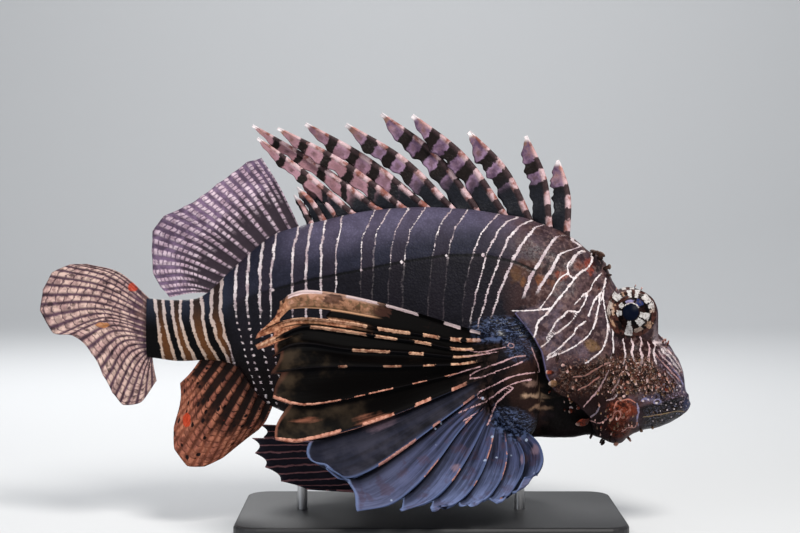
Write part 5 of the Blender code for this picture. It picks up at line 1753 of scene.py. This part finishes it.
# %% Breast fin: ground
look = Look("breast_fin_skin", Specular_IOR_Level=0.03)
stored, noise, step, fall, band, mix, coats = look.tools()
ray, out, before = stored("ray"), stored("out"), stored("before")
along = ray.math("FRACT")
upper = fall(ray, 5.95, 6.1)
streak = noise(0.16, 4, 0.65, look.node("ShaderNodeCombineXYZ", {}, {0: ray, 1: out * 0.35, 2: 0.0}))
frayed, cloud = noise(0.0022, 3, 0.6), noise(0.012, 3, 0.6)
clouded = step(cloud, 0.35, 0.65)
sixth = band(ray, 5.05, 5.3, 6.0, 6.3) * step(out + (cloud - 0.5) * 0.5, 0.45, 0.85)
black = coats(
    tint(3, 2, 2),
    (step(out + (cloud - 0.5) * 0.9, 0.78, 1.12), mix(clouded, tint(10, 7, 6), tint(50, 40, 30))),
    (sixth * 0.85, mix(clouded, tint(12, 10, 9), tint(54, 44, 34))),
)
far = step(out + (cloud - 0.5) * 0.5, 0.32, 0.90) * (0.55 + step(streak, 0.4, 0.62) * 0.4)
smoky = band(ray, 5.95, 6.1, 6.98, 7.1)
blue = coats(
    mix(step(streak, 0.36, 0.68), tint(26, 29, 44), tint(70, 76, 108)),
    (far, mix(step(ray, 7.5, 9.5), tint(88, 92, 120), tint(114, 126, 166))),
    (smoky * 0.85, mix(clouded, tint(14, 13, 16), tint(42, 40, 46))),
    (step(noise(0.007, 3, 0.6), 0.5, 0.64) * step(ray, 7.0, 7.2) * 0.45, tint(70, 52, 62)),
)

# %% [markdown]
# ### Breast fin: the first leaf, fingers and folds
#
# The first ray carries a dappled amber leaf, and the free tips are apricot. Each lower
# web has a pale curled edge in front of its ray, and painted shadow in the fold behind it where it steps back
# under the ray before.

# %% Breast fin: leaf, fingers and folds
first = fall(ray, 0.53, 0.60)
dapple = noise(0.0055, 4, 0.65)
amber = coats(
    tint(74, 52, 36),
    (step(dapple, 0.36, 0.50), tint(136, 98, 76)),
    (step(dapple, 0.54, 0.62), tint(168, 126, 106)),
    (step(streak, 0.45, 0.62) * 0.35, tint(72, 50, 36)),
    (step(frayed + (cloud - 0.5), 0.48, 0.62) * 0.65, tint(74, 62, 42)),
    (fall(ray, 0.04, 0.16) * 0.7, tint(196, 156, 138)),
    (step(ray, 0.36, 0.50) * 0.5, tint(60, 42, 26)),
    (step(ray, 0.50, 0.52), tint(176, 134, 104)),
)
leaf_part = first * step(out - ray * 0.2 + (streak - 0.5) * 0.1, 0.38, 0.44)
smudge = step(stored("smudge") + (cloud - 0.5) * 1.4 + (frayed - 0.5) * 1.4, 0.25, 0.8) * first
blot = step(stored("blot") + (cloud + streak - 1.0) * 1.2, 0.05, 0.65)
peach = mix(step(streak, 0.35, 0.65), tint(104, 60, 46), tint(166, 108, 86))
strip = fall(abs(ray - 1.06), 0.14, 0.26) * step(out + (streak - 0.5) * 0.1, 0.52, 0.62)
tip = step(out + (cloud - 0.5) * 0.1, 0.84, 0.88) * fall(ray, 2.14, 2.24)
finger = strip.math("MAXIMUM", tip)
apricot = mix(step(frayed, 0.36, 0.62), tint(112, 64, 44), tint(190, 138, 108))
apricot = mix(step(cloud, 0.5, 0.6) * 0.5, apricot, tint(92, 74, 50))
curled = fall(before, 0.6, 2.2) * step(out, 0.2, 0.5) * (1 - upper) * step(ray, 6.4, 7.4)
# painted shade: shaded darkens each lower web where it steps back behind the ray before it, and fold paints a
# near-black shadow in that step
shaded = fall(along + (streak - 0.5) * 0.3, 0.05, 0.62) * (1 - upper)
fold = fall(along, 0.03, 0.26) * step(out, 0.1, 0.3) * step(ray, 0.4, 0.6) * (1 - finger)
ground = coats(
    mix(upper, blue, black),
    (leaf_part, amber),
    (smudge * 0.8, tint(54, 32, 26)),
    (blot * 0.75, mix(upper, tint(126, 104, 116), peach)),
    (finger * 0.9, apricot),
    (curled * 0.6, tint(96, 110, 150)),
    (shaded * 0.55, tint(16, 18, 30)),
    (fold * 0.8, tint(4, 4, 6)),
)

# %% [markdown]
# ### Breast fin: marks on the rays, root and tips
#
# Last come the rays with their pink patches, the fleshy root in the body's colour, the
# lines that run on from the face, and the pale tips and dots.

# %% Breast fin: rays
rays = fall(before, 0.5, 0.9)
pink = coats(
    mix(step(frayed, 0.3, 0.7), tint(140, 82, 64), tint(208, 152, 132)),
    (band(ray, 0.5, 0.8, 4.2, 4.6), mix(step(frayed, 0.35, 0.65), tint(136, 90, 70), tint(208, 166, 138))),
    (band(ray, 2.4, 3.6, 4.2, 4.6) * step(out, 0.35, 0.6) * 0.6, tint(96, 58, 48)),
    ((1 - upper) * 0.45, tint(120, 92, 100)),
    (fall(ray, 0.2, 0.5), tint(226, 202, 202)),
)
patch = step(stored("mark") + (frayed - 0.5) * 4.0, -0.25, 0.35)
patch = patch * step(stored("beside") + (frayed - 0.5) * 1.1, -0.1, 0.15)
root = fall(out + (cloud - 0.5) * 0.10, 0.13, 0.22)
slate = mix(step(frayed, 0.45, 0.58), tint(14, 16, 26), tint(66, 78, 108))
slate_share = step(ray, 8.6, 10.0).math("MAXIMUM", fall(ray, 0.6, 1.6))
flesh = mix(slate_share, mix(step(frayed, 0.4, 0.6), tint(12, 9, 9), tint(36, 26, 24)), slate)

# %% Breast fin: lines, tips and surface
drawn = drawn_line(look, (noise(0.0011, 4, 0.6) - 0.5) * 3.4)
broken = step(noise(0.0035, 2, 0.5), 0.36, 0.48)
dark_edge = band(ray, 2.7, 3.0, 5.2, 5.6)
tips = step(out + (cloud - 0.5) * 0.05, 0.970, 0.992) * (1 - dark_edge * 0.8)
white_dots = fall(look.cells(0.011) + (frayed - 0.5) * 0.1, 0.05, 0.09) * (1 - upper)
colour = coats(
    ground,
    (rays * 0.85, mix(upper, tint(74, 86, 120), tint(15, 13, 15))),
    (patch * 0.95, pink),
    (root, flesh),
    (drawn * (0.25 + broken * 0.6), line_colour(look, frayed)),
    (tips * 0.6, mix(upper, tint(112, 128, 168), tint(158, 100, 82))),
    (white_dots * 0.7, tint(170, 184, 208)),
)
height = rays * 0.5 + streak * 0.5 + drawn * 0.6
look.set(Base_Color=colour, Roughness=0.55, Normal=look.bump(height, 0.0003))
wear(look.material, *breast)

# %% [markdown]
# ### Belly fin
#
# The belly fins are nearly black, with thin pink rays that split in two further out.

# %% Belly fin colours
look = Look("belly_fin_skin", Specular_IOR_Level=0.05)
ray, out, cloud = look.stored("ray"), look.stored("out"), look.noise(0.008, 3, 0.6)
wander = (look.noise(0.004, 2) - 0.5) * 0.25
split = ray_line(look, ray * 2 + wander, 0.13) * look.step(out, 0.4, 0.6)
thin = ray_line(look, ray + wander, 0.09).math("MAXIMUM", split)
colour = look.mix(thin * 0.7, look.mix(cloud, tint(14, 13, 18), tint(44, 40, 50)), tint(150, 104, 108))
look.set(Base_Color=colour, Roughness=0.42, Normal=look.bump(thin + cloud * 0.3, 0.0003))
wear(look.material, *pelvic)

# %% [markdown]
# ## Eyes
#
# The eye is a wet ball. The pupil is a dark blue disc, and the iris round it is white
# with black wedges. Both are painted by how far a point is from the pupil's middle and
# which way it lies, so no picture is needed. The clear front of the eye bulges a little.

# %% Eyes
def build_eye(side, sign):
    bm = bmesh.new()
    bmesh.ops.create_uvsphere(bm, u_segments=96, v_segments=64, radius=EYE_SIZE)
    turn = Matrix.Rotation(math.pi / 2, 3, "X")
    bmesh.ops.rotate(bm, verts=bm.verts, cent=(0, 0, 0), matrix=turn)
    for v in bm.verts:
        reach = math.hypot(v.co.x - GAZE[0], v.co.z - GAZE[1])
        if v.co.y * sign > 0:
            v.co.y += sign * 0.0006 * swell(reach, 0, 0.0048)
    centre = flat(EYE[0], EYE[1], sign * EYE_OUT)
    bmesh.ops.translate(bm, verts=bm.verts, vec=centre)
    bmesh.ops.recalc_face_normals(bm, faces=bm.faces)
    piece = finish_piece(f"eyeball_{side}", bm, f"eye_{side}", f"eye_{side}")
    reach, turn = eye_polar(points_of(piece) - centre, np.zeros(3))
    pale, pale_tone = eye_patch(reach, turn)
    mark(piece, reach=reach, pale=pale, pale_tone=pale_tone)
    return piece


eyes = [build_eye("right", -1), build_eye("left", 1)]

# %% Eye colours
look = Look("wet_eye", Roughness=0.4, Specular_IOR_Level=0.05)
ground = look.mix(look.step(look.noise(0.0026, 3, 0.65), 0.40, 0.60), tint(6, 4, 5), tint(34, 20, 18))
iris = eye_patches(look, ground, look.noise(0.0011, 4, 0.6), 1.4)
look.set(Base_Color=look.mix(look.fall(look.stored("reach"), 4.0, 4.2), iris, tint(4, 9, 26)))
wear(look.material, *eyes)

# %% [markdown]
# ## Stand
#
# The animal swims, so the model needs something to hold it. The base and the two rods
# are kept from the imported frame. The base gets a dark satin finish with a faint grain
# and the rods a brushed one, so that neither draws the eye.

# %% Stand
satin = Look("satin_black", Specular_IOR_Level=0.4)
dust = satin.noise(0.0006, 3, 0.6)
satin.set(Base_Color=satin.mix(satin.noise(0.02, 3), tint(34, 34, 36), tint(46, 46, 48)),
          Roughness=0.42 + dust * 0.12, Normal=satin.bump(dust, 0.00005))
steel = Look("brushed_rod", Metallic=1.0)
brushed = steel.noise(0.0008, 3, 0.6, steel.stretched((1, 1, 30)))
steel.set(Base_Color=steel.mix(brushed, tint(168, 168, 170), tint(200, 200, 202)),
          Roughness=0.26 + brushed * 0.16)
wear(satin.material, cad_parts["stand_base"])
wear(steel.material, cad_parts["stand_rod_front"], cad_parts["stand_rod_rear"])

# %% [markdown]
# ## Floor, light and camera
#
# A pale floor that curves up behind keeps attention on the fish. One large soft lamp
# above and in front shapes the body, a weaker one fills the shadows, one behind outlines
# the fins, and one lights the wall. The camera stands where the sheet was drawn from.

# %% Floor
def build_floor():
    bm = bmesh.new()
    bmesh.ops.create_grid(bm, x_segments=1, y_segments=1, size=3.0)
    bmesh.ops.scale(bm, verts=bm.verts, vec=(2, 1, 1))
    rear = [e for e in bm.edges if all(v.co.y > 2.9 for v in e.verts)]
    bmesh.ops.translate(bm, verts=list({v for e in rear for v in e.verts}), vec=(0, -1.1, 0))
    made = bmesh.ops.extrude_edge_only(bm, edges=rear)
    lifted = [v for v in made["geom"] if isinstance(v, bmesh.types.BMVert)]
    bmesh.ops.translate(bm, verts=lifted, vec=(0, 0.4, 2.5))
    fold = [e for e in bm.edges if all(abs(v.co.y - 1.9) < 0.01 and v.co.z < 0.01 for v in e.verts)]
    bmesh.ops.bevel(bm, geom=fold, offset=0.6, offset_type="OFFSET", segments=24, profile=0.5,
                    affect="EDGES", material=-1)
    return show("floor", smooth_mesh("floor", bm))


floor = build_floor()
wear(Look("pale_floor", Roughness=0.7, Base_Color=(0.62, 0.63, 0.64)).material, floor)

# %% Lamps and sky
def aim(thing, spot, target):
    """Put a lamp or camera at a spot, looking at its target."""
    thing.location = spot
    thing.rotation_euler = (Vector(target) - Vector(spot)).to_track_quat("-Z", "Y").to_euler()


def lamp(name, spot, target, size, power, colour):
    data = bpy.data.lights.new(name, "AREA")
    data.shape, data.size, data.energy, data.color = "DISK", size, power, colour
    hung = show(name, data)
    aim(hung, spot, target)
    print(name, "lamp,", power, "W")


lamp("key", (0.30, -0.75, 0.95), (0, 0, 0.1), 0.45, 15, (1.0, 0.97, 0.93))
lamp("fill", (-0.9, -0.8, 0.35), (0, 0, 0.1), 0.8, 3.5, (0.9, 0.95, 1.0))
lamp("rim", (-0.3, 0.8, 0.8), (0, 0, 0.12), 0.5, 7, (1.0, 1.0, 1.0))
lamp("backdrop", (0, 0.9, 1.5), (0, 2.0, 0.5), 1.0, 12, (0.97, 0.98, 1.0))

world = bpy.data.worlds.new("studio")
world.use_nodes = True
sky = world.node_tree.nodes["Background"].inputs
sky["Color"].default_value = (0.80, 0.84, 0.90, 1)
sky["Strength"].default_value = 0.24
bpy.context.scene.world = world

# %% Camera
lens = bpy.data.cameras.new("camera")
lens.lens = 85
lens.sensor_width = 36
camera = show("camera", lens)
target = Vector(flat(MIDDLE[0], MIDDLE[1]))
aim(camera, target + Vector((0, -COS, SIN)) * DISTANCE, target)
bpy.context.scene.camera = camera
bpy.context.scene.view_settings.view_transform = "Standard"
print("camera at", [round(v, 3) for v in camera.location])
